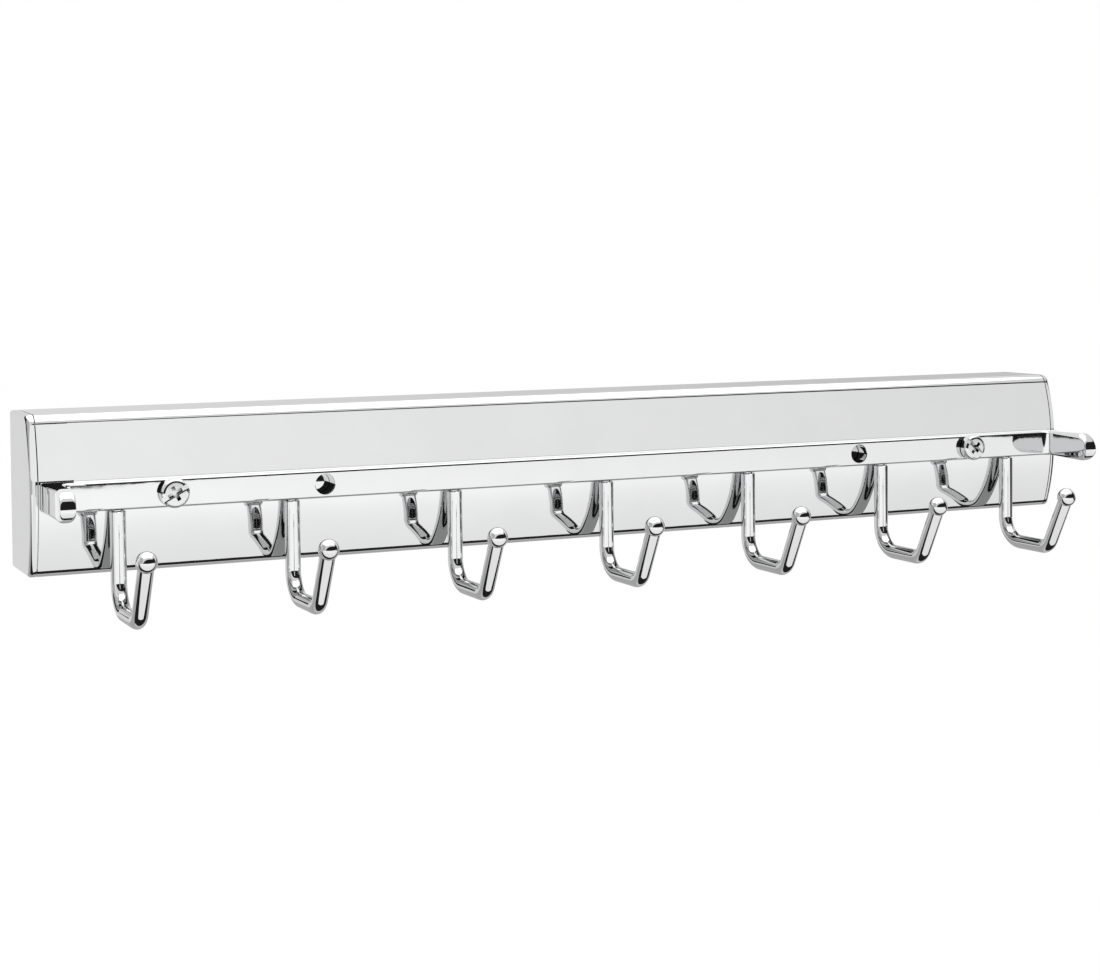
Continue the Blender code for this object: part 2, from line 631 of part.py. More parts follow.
def add_fasteners(parent):
    head_seat = RAIL_FRONT_DEPTH + SEAT_GAP
    washer_seat = SLIDE_THICKNESS - SHEET - SEAT_GAP
    nut_seat = washer_seat - WASHER_THICKNESS - SEAT_GAP
    tip_depth = nut_seat - NUT_HEIGHT - SCREW_TIP
    rod = SCREW_DIAMETER / 2
    rim = HEAD_DIAMETER / 2
    dome = HEAD_HEIGHT - HEAD_RIM
    profile = [
        (rod - ROD_CHAMFER, tip_depth),
        (rod, tip_depth + ROD_CHAMFER),
        (rod, head_seat),
        (rim, head_seat),
    ]
    for i in range(6):
        angle = math.radians(15 * i)
        profile.append((rim * math.cos(angle), head_seat + HEAD_RIM + dome * math.sin(angle)))
    crown = head_seat + HEAD_HEIGHT
    slot = ("slot", HEAD_DIAMETER, SLOT_WIDTH, SLOT_DEPTH, 0.0)
    arm_along = ("cross_along", CROSS_LENGTH / 2, CROSS_WIDTH, CROSS_DEPTH, 0.0)
    arm_across = ("cross_over", CROSS_LENGTH / 2, CROSS_WIDTH, CROSS_DEPTH, math.pi / 2)
    sides = (("left", LEFT_SCREW_X, LEFT_RECESS_ANGLE), ("right", RIGHT_SCREW_X, RIGHT_RECESS_ANGLE))
    for side, x, recess_angle in sides:
        origin = place(x, 0, 0)
        screw = add_object(
            f"rail_screw_{side}", turned(f"rail_screw_{side}", profile, TURNED_SIDES), CHROME, origin, parent
        )
        for part, length, width, cut_depth, turn in (slot, arm_along, arm_across):
            name = f"rail_screw_{part}_{side}"
            low = (-length, crown - cut_depth, -width / 2)
            high = (length, crown + HEAD_HEIGHT, width / 2)
            recess = add_cutter(name, block(name, low, high))
            recess.location = origin
            recess.rotation_euler.y = -(recess_angle + turn)
            combine(screw, recess, "DIFFERENCE")

        washer_depths = (washer_seat, washer_seat - WASHER_THICKNESS)
        ring = [(WASHER_DIAMETER / 2, depth) for depth in washer_depths]
        mesh = turned(f"washer_{side}", ring, HOLE_SIDES)
        washer = add_object(f"washer_{side}", mesh, ZINC, origin, parent)
        nut_depths = (nut_seat, nut_seat - NUT_HEIGHT)
        ring = [(NUT_FLATS / math.sqrt(3), depth) for depth in nut_depths]
        nut = add_object(f"nut_{side}", turned(f"nut_{side}", ring, 6), ZINC, origin, parent)
        hole = bore(f"nut_bore_{side}", x, (washer_seat + NUT_HEIGHT, tip_depth), SCREW_BORE)
        combine(washer, hole, "DIFFERENCE")
        combine(nut, hole, "DIFFERENCE")


def add_bodies():
    """An empty on the slide's axis for each group of pieces that moves as one."""
    bodies = {}
    for name in ("outer_cage", "slide_middle", "inner_cage", "rack"):
        body = bpy.data.objects.new(name + "_axis", None)
        bpy.context.scene.collection.objects.link(body)
        body.location = place(0, SLIDE_THICKNESS / 2, 0)
        bodies[name] = body
    return bodies


def main():
    clear_scene()
    bodies = add_bodies()
    add_slide(bodies)
    add_cover(bodies["rack"])
    add_end_caps(bodies["rack"])
    add_rail(bodies["rack"])
    add_hooks(bodies["rack"])
    add_fasteners(bodies["rack"])


main()
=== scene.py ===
"""Looks of the pull-out belt rack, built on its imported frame.

All pieces but the two bumpers are made again here with finer facets than the solids, in the same place,
because a mirror finish shows every facet. The rail's edges are rounder than in the solids and the screw
heads flatter, as in the photograph. Lengths are millimetres, and MM turns them into metres where a mesh is
made; the studio is in metres. As in the solids, depth is measured out from the panel (along -y) and height
from the rack's middle.
"""

import math

import bmesh
import bpy
from mathutils import Matrix, Vector


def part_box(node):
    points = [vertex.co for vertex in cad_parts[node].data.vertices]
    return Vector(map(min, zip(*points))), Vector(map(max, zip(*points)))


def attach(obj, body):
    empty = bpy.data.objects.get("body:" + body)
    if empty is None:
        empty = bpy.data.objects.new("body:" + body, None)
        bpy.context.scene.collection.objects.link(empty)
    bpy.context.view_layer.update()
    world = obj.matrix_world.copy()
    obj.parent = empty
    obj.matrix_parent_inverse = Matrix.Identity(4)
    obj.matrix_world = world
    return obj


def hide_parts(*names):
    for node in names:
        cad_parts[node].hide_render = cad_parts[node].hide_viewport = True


MM = 0.001

# How far the cover stays inside the solids' box on each side
HAIR = 0.001

# Slide, as in the solids
SLIDE_LENGTH = 330.0
SLIDE_WIDTH = 35.0
SHEET = 1.0
BEND_RADIUS = 1.5
RACE_BALL_DIAMETER = 3.0
RACE_CLEARANCE = 0.2
RACE_FLAT = 1.0
RACE_TILT = math.radians(30)
OUTER_LIP_ANGLE = math.radians(28)
INNER_LIP_ANGLE = math.radians(235)
INNER_FLANGE_FLAT = 1.9
MOUNT_HOLE_DIAMETER = 4.5
MOUNT_HOLE_INSET = 25.0
ACCESS_HOLE_DIAMETER = 8.5
STEM_HOLE_DIAMETER = 3.6
BUMPER_LENGTH = 6.0
SEAT_GAP = 0.3

# Ball cages
CAGE_LENGTH = 140.0
CAGE_SHEET = 0.4
CAGE_CLEARANCE = 0.3
CAGE_OVERHANG = 0.9
CAGE_END_MARGIN = 6.0
BALLS_PER_ROW = 8
POCKET_ROOM = 0.12

# Cover
COVER_WALL = 1.8
COVER_FACE_RADIUS = 62.0
TOP_EDGE_RADIUS = 3.5
BOTTOM_EDGE_RADIUS = 2.3
END_EDGE_RADIUS = 1.6
DEPTH_EDGE_RADIUS = 1.0
BOSS_DIAMETER = 9.0
CAP_LENGTH = 2.1
CAP_PLATE = 1.9
COLLAR_WALL = 1.5
COLLAR_LENGTH = 5.5
SLIDE_NOTCH_ROOM = 0.9

# Rail and arms
RAIL_HEIGHT = 8.3
RAIL_THICKNESS = 4.6
RAIL_EDGE_RADIUS = 0.9
ARM_WIDTH = 4.8
ARM_REACH = 19.8
ARM_FILLET = 2.5
NOSE_DROP = 0.9
NOSE_RISE = 0.3
NOSE_UNDER_RADIUS = 2.1
NOSE_TOP_RADIUS = 1.9
NOSE_LENGTH = 4.5
NOSE_TIP_DROP = 0.95
NOSE_START = math.radians(4)
NOSE_STEPS = 20
NOSE_SIDE_ROUND = 0.35
ARM_SHARES = (0.25, 0.5, 0.75)
RAIL_HOLE_DIAMETER = 5.8
LEFT_HOLE_MARGIN = 80.9
RIGHT_HOLE_MARGIN = 81.5
HOLE_ROUNDING = 0.25
HOLE_MIDWAY = 0.3
SOCKET_DIAMETER = 3.2

# Hooks, a little shorter than the solids, whose coarser facets would otherwise lie inside these
HOOK_COUNT = 7
HOOK_END_MARGIN = 20.75
ROD_DIAMETER = 4.5
ROD_CHAMFER = 0.3
BALL_DIAMETER = 6.0
HOOK_DROP = 28.24
HOOK_REACH = 32.03
BALL_HEIGHT = 17.5
TIP_LEAN = math.radians(28)
REAR_BEND_RADIUS = 8.0
FRONT_BEND_RADIUS = 5.0
BALL_CROWN = math.radians(178)
STUB_DIAMETER = 2.6
STUB_LENGTH = 5.5

# Screws
SCREW_DIAMETER = 4.0
SCREW_BORE = 4.6
LEFT_SCREW_MARGIN = 36.0
RIGHT_SCREW_MARGIN = 37.1
SCREW_TIP = 1.5
HEAD_DIAMETER = 8.4
HEAD_HEIGHT = 2.8
HEAD_EDGE_RADIUS = 1.2
LEFT_RECESS_ANGLE = math.radians(28)
RIGHT_RECESS_ANGLE = math.radians(-42)
SLOT_WIDTH = 1.6
SLOT_DEPTH = 0.9
CROSS_WIDTH = 1.1
CROSS_DEPTH = 1.9
CROSS_LENGTH = 4.4
WASHER_DIAMETER = 8.0
WASHER_THICKNESS = 0.8
NUT_FLATS = 7.0
NUT_HEIGHT = 3.2
THREAD_PITCH = 0.7
THREAD_DEPTH = 0.35

# Facets
ROD_SIDES = 56
TURNED_SIDES = 64
SOCKET_SIDES = 32
NUT_SIDES = 6
RACE_BALL_SIDES = 28
RACE_BALL_ROWS = 18
EDGE_STEPS = 10
FACE_STEPS = 64
BEND_STEPS = 24
RAIL_EDGE_STEPS = 6
FILLET_STEPS = 12
LIP_STEPS = 12
OVER_RACE_STEPS = 18
UNDER_RACE_STEPS = 10
INNER_LIP_STEPS = 8
CHANNEL_BEND_STEPS = 10
SHARP_ANGLE = math.radians(35)

# Camera, solved from the photograph, which is 1100 pixels wide
CAMERA_PLACE = (-0.28603, -0.60462, 0.06493)
CAMERA_YAW = math.radians(25.011)
CAMERA_PITCH = math.radians(1.987)
CAMERA_ROLL = math.radians(0.512)
PHOTO_WIDTH = 1100.0
PHOTO_HEIGHT = 980.0
FOCAL_PIXELS = 2071.0
PRINCIPAL_X = 550.75
PRINCIPAL_Y = 329.94
SENSOR_WIDTH = 36.0
CAMERA_NEAR = 0.01

# Light and floor
FLOOR_HEIGHT = -0.30
FLOOR_SIZE = 12.0
FLOOR_COLOUR = (0.92, 0.92, 0.92, 1.0)
FLOOR_ROUGHNESS = 0.9
FLOOR_GLOW = 0.97
ROOM_LIGHT = 0.9
LAMP_PLACE = (0.0, 0.1, 1.3)
LAMP_SIZE = (2.4, 2.2)
LAMP_POWER = 22.0

# Cards below the rack, where mirrors see a pale table, a dark corner and the rack's painted shade: a dark
# strip and grey ground behind.
# A level of 1 is white.
DARK = 0.02
CARD_LEFT = -1.0
CARD_RIGHT = 1.2
CARD_GAP = 0.0003
TABLE_HEIGHT = -0.075
TABLE_BACK = -0.073
TABLE_FRONT = -0.80
TABLE_BRIGHT_PLACE = -0.25
TABLE_BACK_LEVEL = 1.2
TABLE_BRIGHT_LEVEL = 1.45
TABLE_DIM_PLACES = (0.0, 0.5)
TABLE_DIM_SHARE = 0.9
DARK_CORNER_START = 0.225
DARK_CORNER_END = 0.84
DARK_CORNER_FRONT = -0.78
UNDER_FRONT = -0.040
UNDER_BACK = 0.15
UNDER_CORNER = (-0.18, -0.030)
UNDER_FADE_END = -0.020
UNDER_FRONT_LEVEL = 0.85
UNDER_BACK_LEVEL = 0.55

# Cards round the rack: a dark room in front and on the right, walls and a dark corner at the back left
ROOM_PLACE = -1.5
ROOM_OUTLINE = ((-2.2, -0.5), (2.4, -0.5), (2.4, 1.5), (0.1, 1.12), (-0.82, 0.94), (-2.2, -0.23))
DARK_RIGHT_PLACE = 1.3
DARK_RIGHT_ENDS = (-1.5, -0.1)
DARK_RIGHT_HEIGHTS = (-0.05, 0.9)
DARK_LEFT_ENDS = (0.33, 0.85)
DARK_BACK_LEFT_END = -0.41
DARK_LEFT_HEIGHTS = (-0.02, 0.6)
LEFT_WALL_PLACE = -1.2
LEFT_WALL_ENDS = (-0.75, 0.7)
LEFT_WALL_HEIGHTS = (-0.4, 1.0)
LEFT_WALL_LEVEL = 0.65
BACK_WALL_PLACE = 0.9
BACK_WALL_ENDS = (-0.7, 1.6)
BACK_WALL_HEIGHTS = (-0.25, 0.25)
BACK_WALL_FADE = (-0.35, 0.7)
BACK_WALL_LEVELS = (0.88, 0.6)

# Narrow cards near the rack, which brighten what the cover's face and its left end mirror
FACE_FILL_PLACE = -0.0325
FACE_FILL_ENDS = (-0.163, 0.26)
FACE_FILL_HEIGHTS = (0.0043, 0.0253)
FACE_FILL_FADE = (-0.17, 0.19)
FACE_FILL_LEVELS = (1.3, 1.1)
FACE_FILL_SECOND_MIRROR = 1.6
CORNER_FILL_PLACE = -0.045
CORNER_FILL_ENDS = (-0.52, -0.159)
CORNER_FILL_HEIGHTS = (0.0051, 0.0336)
CORNER_FILL_LEVEL = 1.3
END_FILL_ENDS = (-0.200, -0.1738)
END_FILL_BOTTOM = -0.03
END_FILL_LEVEL = 1.2

# Finishes: two colours and two roughnesses that a noise runs between, and the height of bumps in metres
CHROME_COLOURS = ((0.61, 0.612, 0.616), (0.63, 0.632, 0.636))
HOOK_COLOURS = ((0.60, 0.602, 0.606), (0.63, 0.632, 0.636))
SCREW_COLOURS = ((0.58, 0.582, 0.586), (0.64, 0.642, 0.646))
BALL_COLOURS = ((0.70, 0.70, 0.71), (0.76, 0.76, 0.77))
FASTENER_COLOURS = ((0.56, 0.58, 0.60), (0.66, 0.67, 0.68))
SLIDE_COLOURS = ((0.55, 0.57, 0.59), (0.64, 0.66, 0.68))
CAGE_COLOURS = ((0.30, 0.29, 0.26), (0.46, 0.47, 0.48))
RUBBER_COLOURS = ((0.022, 0.022, 0.023), (0.045, 0.045, 0.047))
CHROME_ROUGHNESS = (0.015, 0.04)
SCREW_ROUGHNESS = (0.05, 0.12)
BALL_ROUGHNESS = (0.05, 0.14)
FASTENER_ROUGHNESS = (0.22, 0.36)
SLIDE_ROUGHNESS = (0.24, 0.38)
CAGE_ROUGHNESS = (0.48, 0.26)
RUBBER_ROUGHNESS = (0.55, 0.75)
COVER_WAVE = 0.000006
RAIL_WAVE = 0.000005
HOOK_WAVE = 0.000003
SCREW_WAVE = 0.000004
BALL_WAVE = 0.000002
ZINC_TOOTH = 0.000012
CAGE_TOOTH = 0.00001
RUBBER_GRAIN = 0.00003

# A screw's recess, where shade is painted into the plate's colour: how near walls are looked for, the
# plate's share of brightness where they hide most of the room, and the shares of open room that the painted
# shade fades between
RECESS_REACH = 0.002
RECESS_DARKEST = 0.1
RECESS_OPENING = (0.2, 0.6)

# The range that a noise mostly keeps to
NOISE_LOW = 0.3
NOISE_HIGH = 0.7


def place(x, depth, height):
    """A point in metres, given along the rack, out from the panel and up from the rack's middle."""
    return Vector((x, -depth, height)) * MM


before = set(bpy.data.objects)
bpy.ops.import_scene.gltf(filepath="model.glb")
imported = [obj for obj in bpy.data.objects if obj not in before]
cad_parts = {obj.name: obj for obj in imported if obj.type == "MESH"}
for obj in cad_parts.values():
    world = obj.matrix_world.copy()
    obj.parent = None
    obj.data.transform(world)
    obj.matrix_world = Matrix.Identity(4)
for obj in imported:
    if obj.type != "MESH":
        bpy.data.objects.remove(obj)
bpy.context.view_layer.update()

COVER_LOW, COVER_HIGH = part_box("cover")
COVER_LENGTH = (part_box("end_cap_right")[1].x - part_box("end_cap_left")[0].x) / MM - 2 * HAIR
COVER_HEIGHT = (COVER_HIGH.z - COVER_LOW.z) / MM - 2 * HAIR
COVER_FRONT_DEPTH = -COVER_LOW.y / MM
COVER_REAR_DEPTH = -COVER_HIGH.y / MM
FACE_CENTRE = Vector((COVER_FRONT_DEPTH - COVER_FACE_RADIUS, 0))

# Places that follow, worked out as in the solids
RACE_RADIUS = RACE_BALL_DIAMETER / 2 + RACE_CLEARANCE + SHEET / 2
OUTER_WEB_DEPTH = SHEET / 2
OUTER_CAGE_DEPTH = SHEET + CAGE_CLEARANCE + CAGE_SHEET / 2
MIDDLE_WEB_DEPTH = OUTER_CAGE_DEPTH + CAGE_SHEET / 2 + CAGE_CLEARANCE + SHEET / 2
INNER_CAGE_DEPTH = MIDDLE_WEB_DEPTH + SHEET / 2 + CAGE_CLEARANCE + CAGE_SHEET / 2
OUTER_FLANGE_HEIGHT = SLIDE_WIDTH / 2 - SHEET / 2
OUTER_RACE = Vector((MIDDLE_WEB_DEPTH + BEND_RADIUS + RACE_FLAT, OUTER_FLANGE_HEIGHT - RACE_RADIUS))
INNER_RACE = OUTER_RACE + 2 * RACE_RADIUS * Vector((math.cos(RACE_TILT), -math.sin(RACE_TILT)))
MIDDLE_FLANGE_HEIGHT = OUTER_RACE.y - RACE_RADIUS
INNER_FLANGE_HEIGHT = INNER_RACE.y - RACE_RADIUS
INNER_WEB_DEPTH = INNER_RACE.x + INNER_FLANGE_FLAT + BEND_RADIUS
SLIDE_THICKNESS = INNER_WEB_DEPTH + SHEET / 2
INNER_LIP_TOP = INNER_RACE.y + (RACE_RADIUS - SHEET / 2) * math.sin(INNER_LIP_ANGLE)
INNER_CAGE_HEIGHT = (MIDDLE_FLANGE_HEIGHT - SHEET / 2 + INNER_LIP_TOP) / 2
SLIDE_START = -SLIDE_LENGTH / 2
OUTER_END = SLIDE_LENGTH / 2
MIDDLE_END = OUTER_END - BUMPER_LENGTH - SEAT_GAP
INNER_END = MIDDLE_END - BUMPER_LENGTH - SEAT_GAP
BOSS_FOOT_DEPTH = SLIDE_THICKNESS + SEAT_GAP
RAIL_REAR_DEPTH = COVER_FRONT_DEPTH + SEAT_GAP
RAIL_FRONT_DEPTH = RAIL_REAR_DEPTH + RAIL_THICKNESS
HOOK_DEPTH = RAIL_REAR_DEPTH + RAIL_THICKNESS / 2
ARM_FRONT_DEPTH = RAIL_FRONT_DEPTH + ARM_REACH
RAIL_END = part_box("hook_rail")[1].x / MM
HOOK_SPAN = 2 * (RAIL_END - HOOK_END_MARGIN)
LEFT_SCREW_X = LEFT_SCREW_MARGIN - RAIL_END
RIGHT_SCREW_X = RAIL_END - RIGHT_SCREW_MARGIN
LEFT_HOLE_X = LEFT_HOLE_MARGIN - RAIL_END
RIGHT_HOLE_X = RAIL_END - RIGHT_HOLE_MARGIN


# Mesh tools

def mesh_from(name, bm):
    bmesh.ops.recalc_face_normals(bm, faces=bm.faces)
    mesh = bpy.data.meshes.new(name)
    bm.to_mesh(mesh)
    bm.free()
    return mesh


def loft(name, rings):
    """One closed skin over rings of the same number of points, with flat ends."""
    bm = bmesh.new()
    rows = [[bm.verts.new(point) for point in ring] for ring in rings]
    count = len(rows[0])
    for row, following in zip(rows, rows[1:]):
        for i in range(count):
            j = (i + 1) % count
            bm.faces.new((row[i], row[j], following[j], following[i]))
    bm.faces.new(rows[0])
    bm.faces.new(reversed(rows[-1]))
    return mesh_from(name, bm)


def add_object(name, mesh):
    obj = bpy.data.objects.new(name, mesh)
    bpy.context.scene.collection.objects.link(obj)
    return obj


def circle(centre, radius, across, up, sides):
    steps = [2 * math.pi * i / sides for i in range(sides)]
    return [centre + radius * (math.cos(a) * across + math.sin(a) * up) for a in steps]


def arc(centre, radius, start, end, steps):
    """Points on an arc in a flat section, from one angle to another."""
    angles = [start + (end - start) * i / steps for i in range(steps + 1)]
    return [centre + radius * Vector((math.cos(a), math.sin(a))) for a in angles]


def turned(name, profile, x=0.0, sides=TURNED_SIDES):
    """A piece turned about a line out of the panel at mid-height, from (radius, depth) pairs."""
    across = Vector((1, 0, 0))
    up = Vector((0, 0, 1))
    rings = [circle(place(x, depth, 0), radius * MM, across, up, sides) for radius, depth in profile]
    return loft(name, rings)


def bar(name, x, depths, diameter):
    """A round bar out of the panel, as a tool for a hole or a boss."""
    return add_object(name, turned(name, [(diameter / 2, depth) for depth in depths], x))


def block(name, low, high):
    """A plain box between two (x, depth, height) corners, as a tool for a cut."""
    corners = [(low[1], low[2]), (high[1], low[2]), (high[1], high[2]), (low[1], high[2])]
    rings = [[place(x, depth, height) for depth, height in corners] for x in (low[0], high[0])]
    return add_object(name, loft(name, rings))


def shape(obj, tools):
    """Applies (operation, tool) pairs to an object and removes the tools."""
    for operation, tool in tools:
        modifier = obj.modifiers.new(tool.name, "BOOLEAN")
        modifier.operation = operation
        modifier.solver = "EXACT"
        modifier.object = tool
    graph = bpy.context.evaluated_depsgraph_get()
    mesh = bpy.data.meshes.new_from_object(obj.evaluated_get(graph))
    obj.modifiers.clear()
    obj.data = mesh
    for _, tool in tools:
        bpy.data.objects.remove(tool)


def smooth(obj):
    """Smooth shading that keeps flat faces flat and breaks at sharp edges."""
    obj.data.shade_smooth()
    obj.data.set_sharp_from_angle(angle=SHARP_ANGLE)
    normals = obj.modifiers.new("flat_faces", "WEIGHTED_NORMAL")
    normals.keep_sharp = True


def install(obj, material, body, slot, *nodes):
    """Gives a finished piece its material and its place in the frame."""
    obj.data.materials.clear()
    obj.data.materials.append(material)
    smooth(obj)
    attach(obj, body)
    if nodes:
        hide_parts(*nodes)


# Materials

def node_tree(name):
    material = bpy.data.materials.new(name)
    material.use_nodes = True
    tree = material.node_tree
    return material, tree, tree.nodes["Principled BSDF"]


def noise(tree, scale, detail, along=1.0):
    """A noise over the piece's own place in metres, drawn out along the rack where along is under 1."""
    coordinates = tree.nodes.new("ShaderNodeTexCoord")
    mapping = tree.nodes.new("ShaderNodeMapping")
    mapping.inputs["Scale"].default_value = (along, 1.0, 1.0)
    texture = tree.nodes.new("ShaderNodeTexNoise")
    texture.inputs["Scale"].default_value = scale
    texture.inputs["Detail"].default_value = detail
    tree.links.new(coordinates.outputs["Object"], mapping.inputs["Vector"])
    tree.links.new(mapping.outputs["Vector"], texture.inputs["Vector"])
    return texture.outputs["Fac"]


def spread(tree, value, low, high, start=NOISE_LOW, end=NOISE_HIGH):
    """Maps a value between start and end onto a range."""
    ramp = tree.nodes.new("ShaderNodeMapRange")
    ramp.inputs["From Min"].default_value = start
    ramp.inputs["From Max"].default_value = end
    ramp.inputs["To Min"].default_value = low
    ramp.inputs["To Max"].default_value = high
    tree.links.new(value, ramp.inputs["Value"])
    return ramp.outputs["Result"]


def combine(tree, operation, first, second):
    """Two values made into one by a named operation."""
    node = tree.nodes.new("ShaderNodeMath")
    node.operation = operation
    tree.links.new(first, node.inputs[0])
    tree.links.new(second, node.inputs[1])
    return node.outputs["Value"]


def tint(tree, value, colours):
    """A colour between two, by a noise value."""
    ramp = tree.nodes.new("ShaderNodeValToRGB")
    for stop, position, colour in zip(ramp.color_ramp.elements, (NOISE_LOW, NOISE_HIGH), colours):
        stop.position = position
        stop.color = (*colour, 1.0)
    tree.links.new(value, ramp.inputs["Fac"])
    return ramp.outputs["Color"]


def rough_height(tree, shader, value, distance):
    """Bump of a real height in metres."""
    bump = tree.nodes.new("ShaderNodeBump")
    bump.inputs["Strength"].default_value = 1.0
    bump.inputs["Distance"].default_value = distance
    tree.links.new(value, bump.inputs["Height"])
    tree.links.new(bump.outputs["Normal"], shader.inputs["Normal"])


def chrome(name, colours, roughness, wave):
    """Bright plate: faint clouds of haze, polishing lines along the piece and a slow orange-peel wave."""
    material, tree, shader = node_tree(name)
    shader.inputs["Metallic"].default_value = 1.0
    clouds = noise(tree, scale=60.0, detail=3.0)
    lines = noise(tree, scale=2500.0, detail=2.0, along=0.06)
    cloudy = spread(tree, clouds, low=0.4, high=1.0)
    lined = spread(tree, lines, low=0.6, high=1.0)
    haze = combine(tree, "MULTIPLY", cloudy, lined)
    tree.links.new(tint(tree, clouds, colours), shader.inputs["Base Color"])
    tree.links.new(spread(tree, haze, *roughness, start=0.25, end=1.0), shader.inputs["Roughness"])
    rough_height(tree, shader, noise(tree, scale=220.0, detail=1.0), wave)
    return material


def paint_recess_shade(material):
    """Paints shade into the plate's colour deep in a narrow recess, darker where near walls hide more of
    the room.
    """
    tree = material.node_tree
    colour = tree.nodes["Principled BSDF"].inputs["Base Color"]
    bright = colour.links[0].from_socket
    # Painted shade: ambient occlusion scales the plate's colour down in the recess
    opening = tree.nodes.new("ShaderNodeAmbientOcclusion")
    opening.inputs["Distance"].default_value = RECESS_REACH
    shaded_colour = tree.nodes.new("ShaderNodeVectorMath")
    shaded_colour.operation = "SCALE"
    tree.links.new(bright, shaded_colour.inputs["Vector"])
    share = spread(tree, opening.outputs["AO"], RECESS_DARKEST, 1.0, *RECESS_OPENING)
    tree.links.new(share, shaded_colour.inputs["Scale"])
    tree.links.new(shaded_colour.outputs["Vector"], colour)


def zinc(name, colours, roughness):
    """Plated rolled steel: streaks along the strip, cloudy spangle and a slight tooth."""
    material, tree, shader = node_tree(name)
    shader.inputs["Metallic"].default_value = 1.0
    streaks = noise(tree, scale=900.0, detail=4.0, along=0.04)
    clouds = noise(tree, scale=120.0, detail=3.0, along=0.5)
    tree.links.new(tint(tree, clouds, colours), shader.inputs["Base Color"])
    tree.links.new(spread(tree, streaks, *roughness), shader.inputs["Roughness"])
    rough_height(tree, shader, streaks, ZINC_TOOTH)
    return material


def greased(name, colours, roughness):
    """Pressed steel with a thin, uneven film of grease."""
    material, tree, shader = node_tree(name)
    shader.inputs["Metallic"].default_value = 1.0
    film = noise(tree, scale=180.0, detail=4.0, along=0.3)
    tree.links.new(tint(tree, film, colours), shader.inputs["Base Color"])
    tree.links.new(spread(tree, film, *roughness), shader.inputs["Roughness"])
    rough_height(tree, shader, noise(tree, scale=1500.0, detail=2.0), CAGE_TOOTH)
    return material


def rubber(name, colours, roughness):
    """Matt moulded rubber with a fine grain and pale bloom."""
    material, tree, shader = node_tree(name)
    bloom = noise(tree, scale=400.0, detail=3.0)
    grain = noise(tree, scale=3500.0, detail=2.0)
    tree.links.new(tint(tree, bloom, colours), shader.inputs["Base Color"])
    tree.links.new(spread(tree, grain, *roughness), shader.inputs["Roughness"])
    rough_height(tree, shader, grain, RUBBER_GRAIN)
    return material


# Cover

def edge_angle(radius):
    """How far the face of the cover turns away from the front before an edge of this radius takes over."""
    return math.asin((COVER_HEIGHT / 2 - radius) / (COVER_FACE_RADIUS - radius))


def cover_edge(radius, side):
    """(point, outward way, share) from the back of the top (1) or bottom (-1) wall round to the face."""
    face_angle = edge_angle(radius)
    reach = COVER_FACE_RADIUS - radius
    centre = FACE_CENTRE + reach * Vector((math.cos(face_angle), side * math.sin(face_angle)))
    rows = [(Vector((COVER_REAR_DEPTH, side * COVER_HEIGHT / 2)), Vector((0, side)), 0.0)]
    for i in range(EDGE_STEPS):
        share = i / EDGE_STEPS
        angle = math.pi / 2 + (face_angle - math.pi / 2) * share
        way = Vector((math.cos(angle), side * math.sin(angle)))
        rows.append((centre + radius * way, way, share))
    return rows


def cover_profile():
    """(point, outward way, share) round the cover's section; the share is 0 on a wall and 1 on the face."""
    start = edge_angle(TOP_EDGE_RADIUS)
    end = -edge_angle(BOTTOM_EDGE_RADIUS)
    face = []
    for i in range(FACE_STEPS + 1):
        angle = start + (end - start) * i / FACE_STEPS
        way = Vector((math.cos(angle), math.sin(angle)))
        face.append((FACE_CENTRE + COVER_FACE_RADIUS * way, way, 1.0))
    return cover_edge(TOP_EDGE_RADIUS, 1) + face + cover_edge(BOTTOM_EDGE_RADIUS, -1)[::-1]


def hollow_section(inset, back):
    """The section of the cover's hollow, made smaller all round and open towards the panel."""
    half = COVER_HEIGHT / 2 - COVER_WALL - inset
    radius = COVER_FACE_RADIUS - COVER_WALL - inset
    face_angle = math.asin(half / radius)
    section = arc(FACE_CENTRE, radius, -face_angle, face_angle, FACE_STEPS // 2)
    return [Vector((back, -half))] + section + [Vector((back, half))]


def prism(name, section, start, end):
    """A tool of one section that runs along the rack."""
    rings = [[place(x, p.x, p.y) for p in section] for x in (start, end)]
    return add_object(name, loft(name, rings))


def make_cover(material):
    end = COVER_LENGTH / 2 - CAP_LENGTH - SEAT_GAP
    rings = [[place(x, point.x, point.y) for point, _, _ in cover_profile()] for x in (-end, end)]
    cover = add_object("cover_shell", loft("cover_shell", rings))
    wall_middle = COVER_FRONT_DEPTH - COVER_WALL / 2
    through = (COVER_FRONT_DEPTH + COVER_WALL, BOSS_FOOT_DEPTH - COVER_WALL)
    hollow = prism("hollow", hollow_section(0, -COVER_REAR_DEPTH), -COVER_LENGTH / 2, COVER_LENGTH / 2)
    tools = [("DIFFERENCE", hollow)]
    for x in (LEFT_SCREW_X, RIGHT_SCREW_X):
        tools.append(("UNION", bar("boss", x, (wall_middle, BOSS_FOOT_DEPTH), BOSS_DIAMETER)))
    for x in (LEFT_SCREW_X, RIGHT_SCREW_X):
        tools.append(("DIFFERENCE", bar("bore", x, through, SCREW_BORE)))
    shape(cover, tools)
    install(cover, material, "rack", "cover_chrome", "cover")


def cap_ring(turn, side):
    """The outline of a cap where its rounding has turned so far, up to a quarter turn on the end face."""
    ring = []
    for point, way, share in cover_profile():
        radius = DEPTH_EDGE_RADIUS + (END_EDGE_RADIUS - DEPTH_EDGE_RADIUS) * share
        inset = point - way * radius * (1 - math.cos(turn))
        x = side * (COVER_LENGTH / 2 - radius * (1 - math.sin(turn)))
        ring.append(place(x, inset.x, inset.y))
    return ring


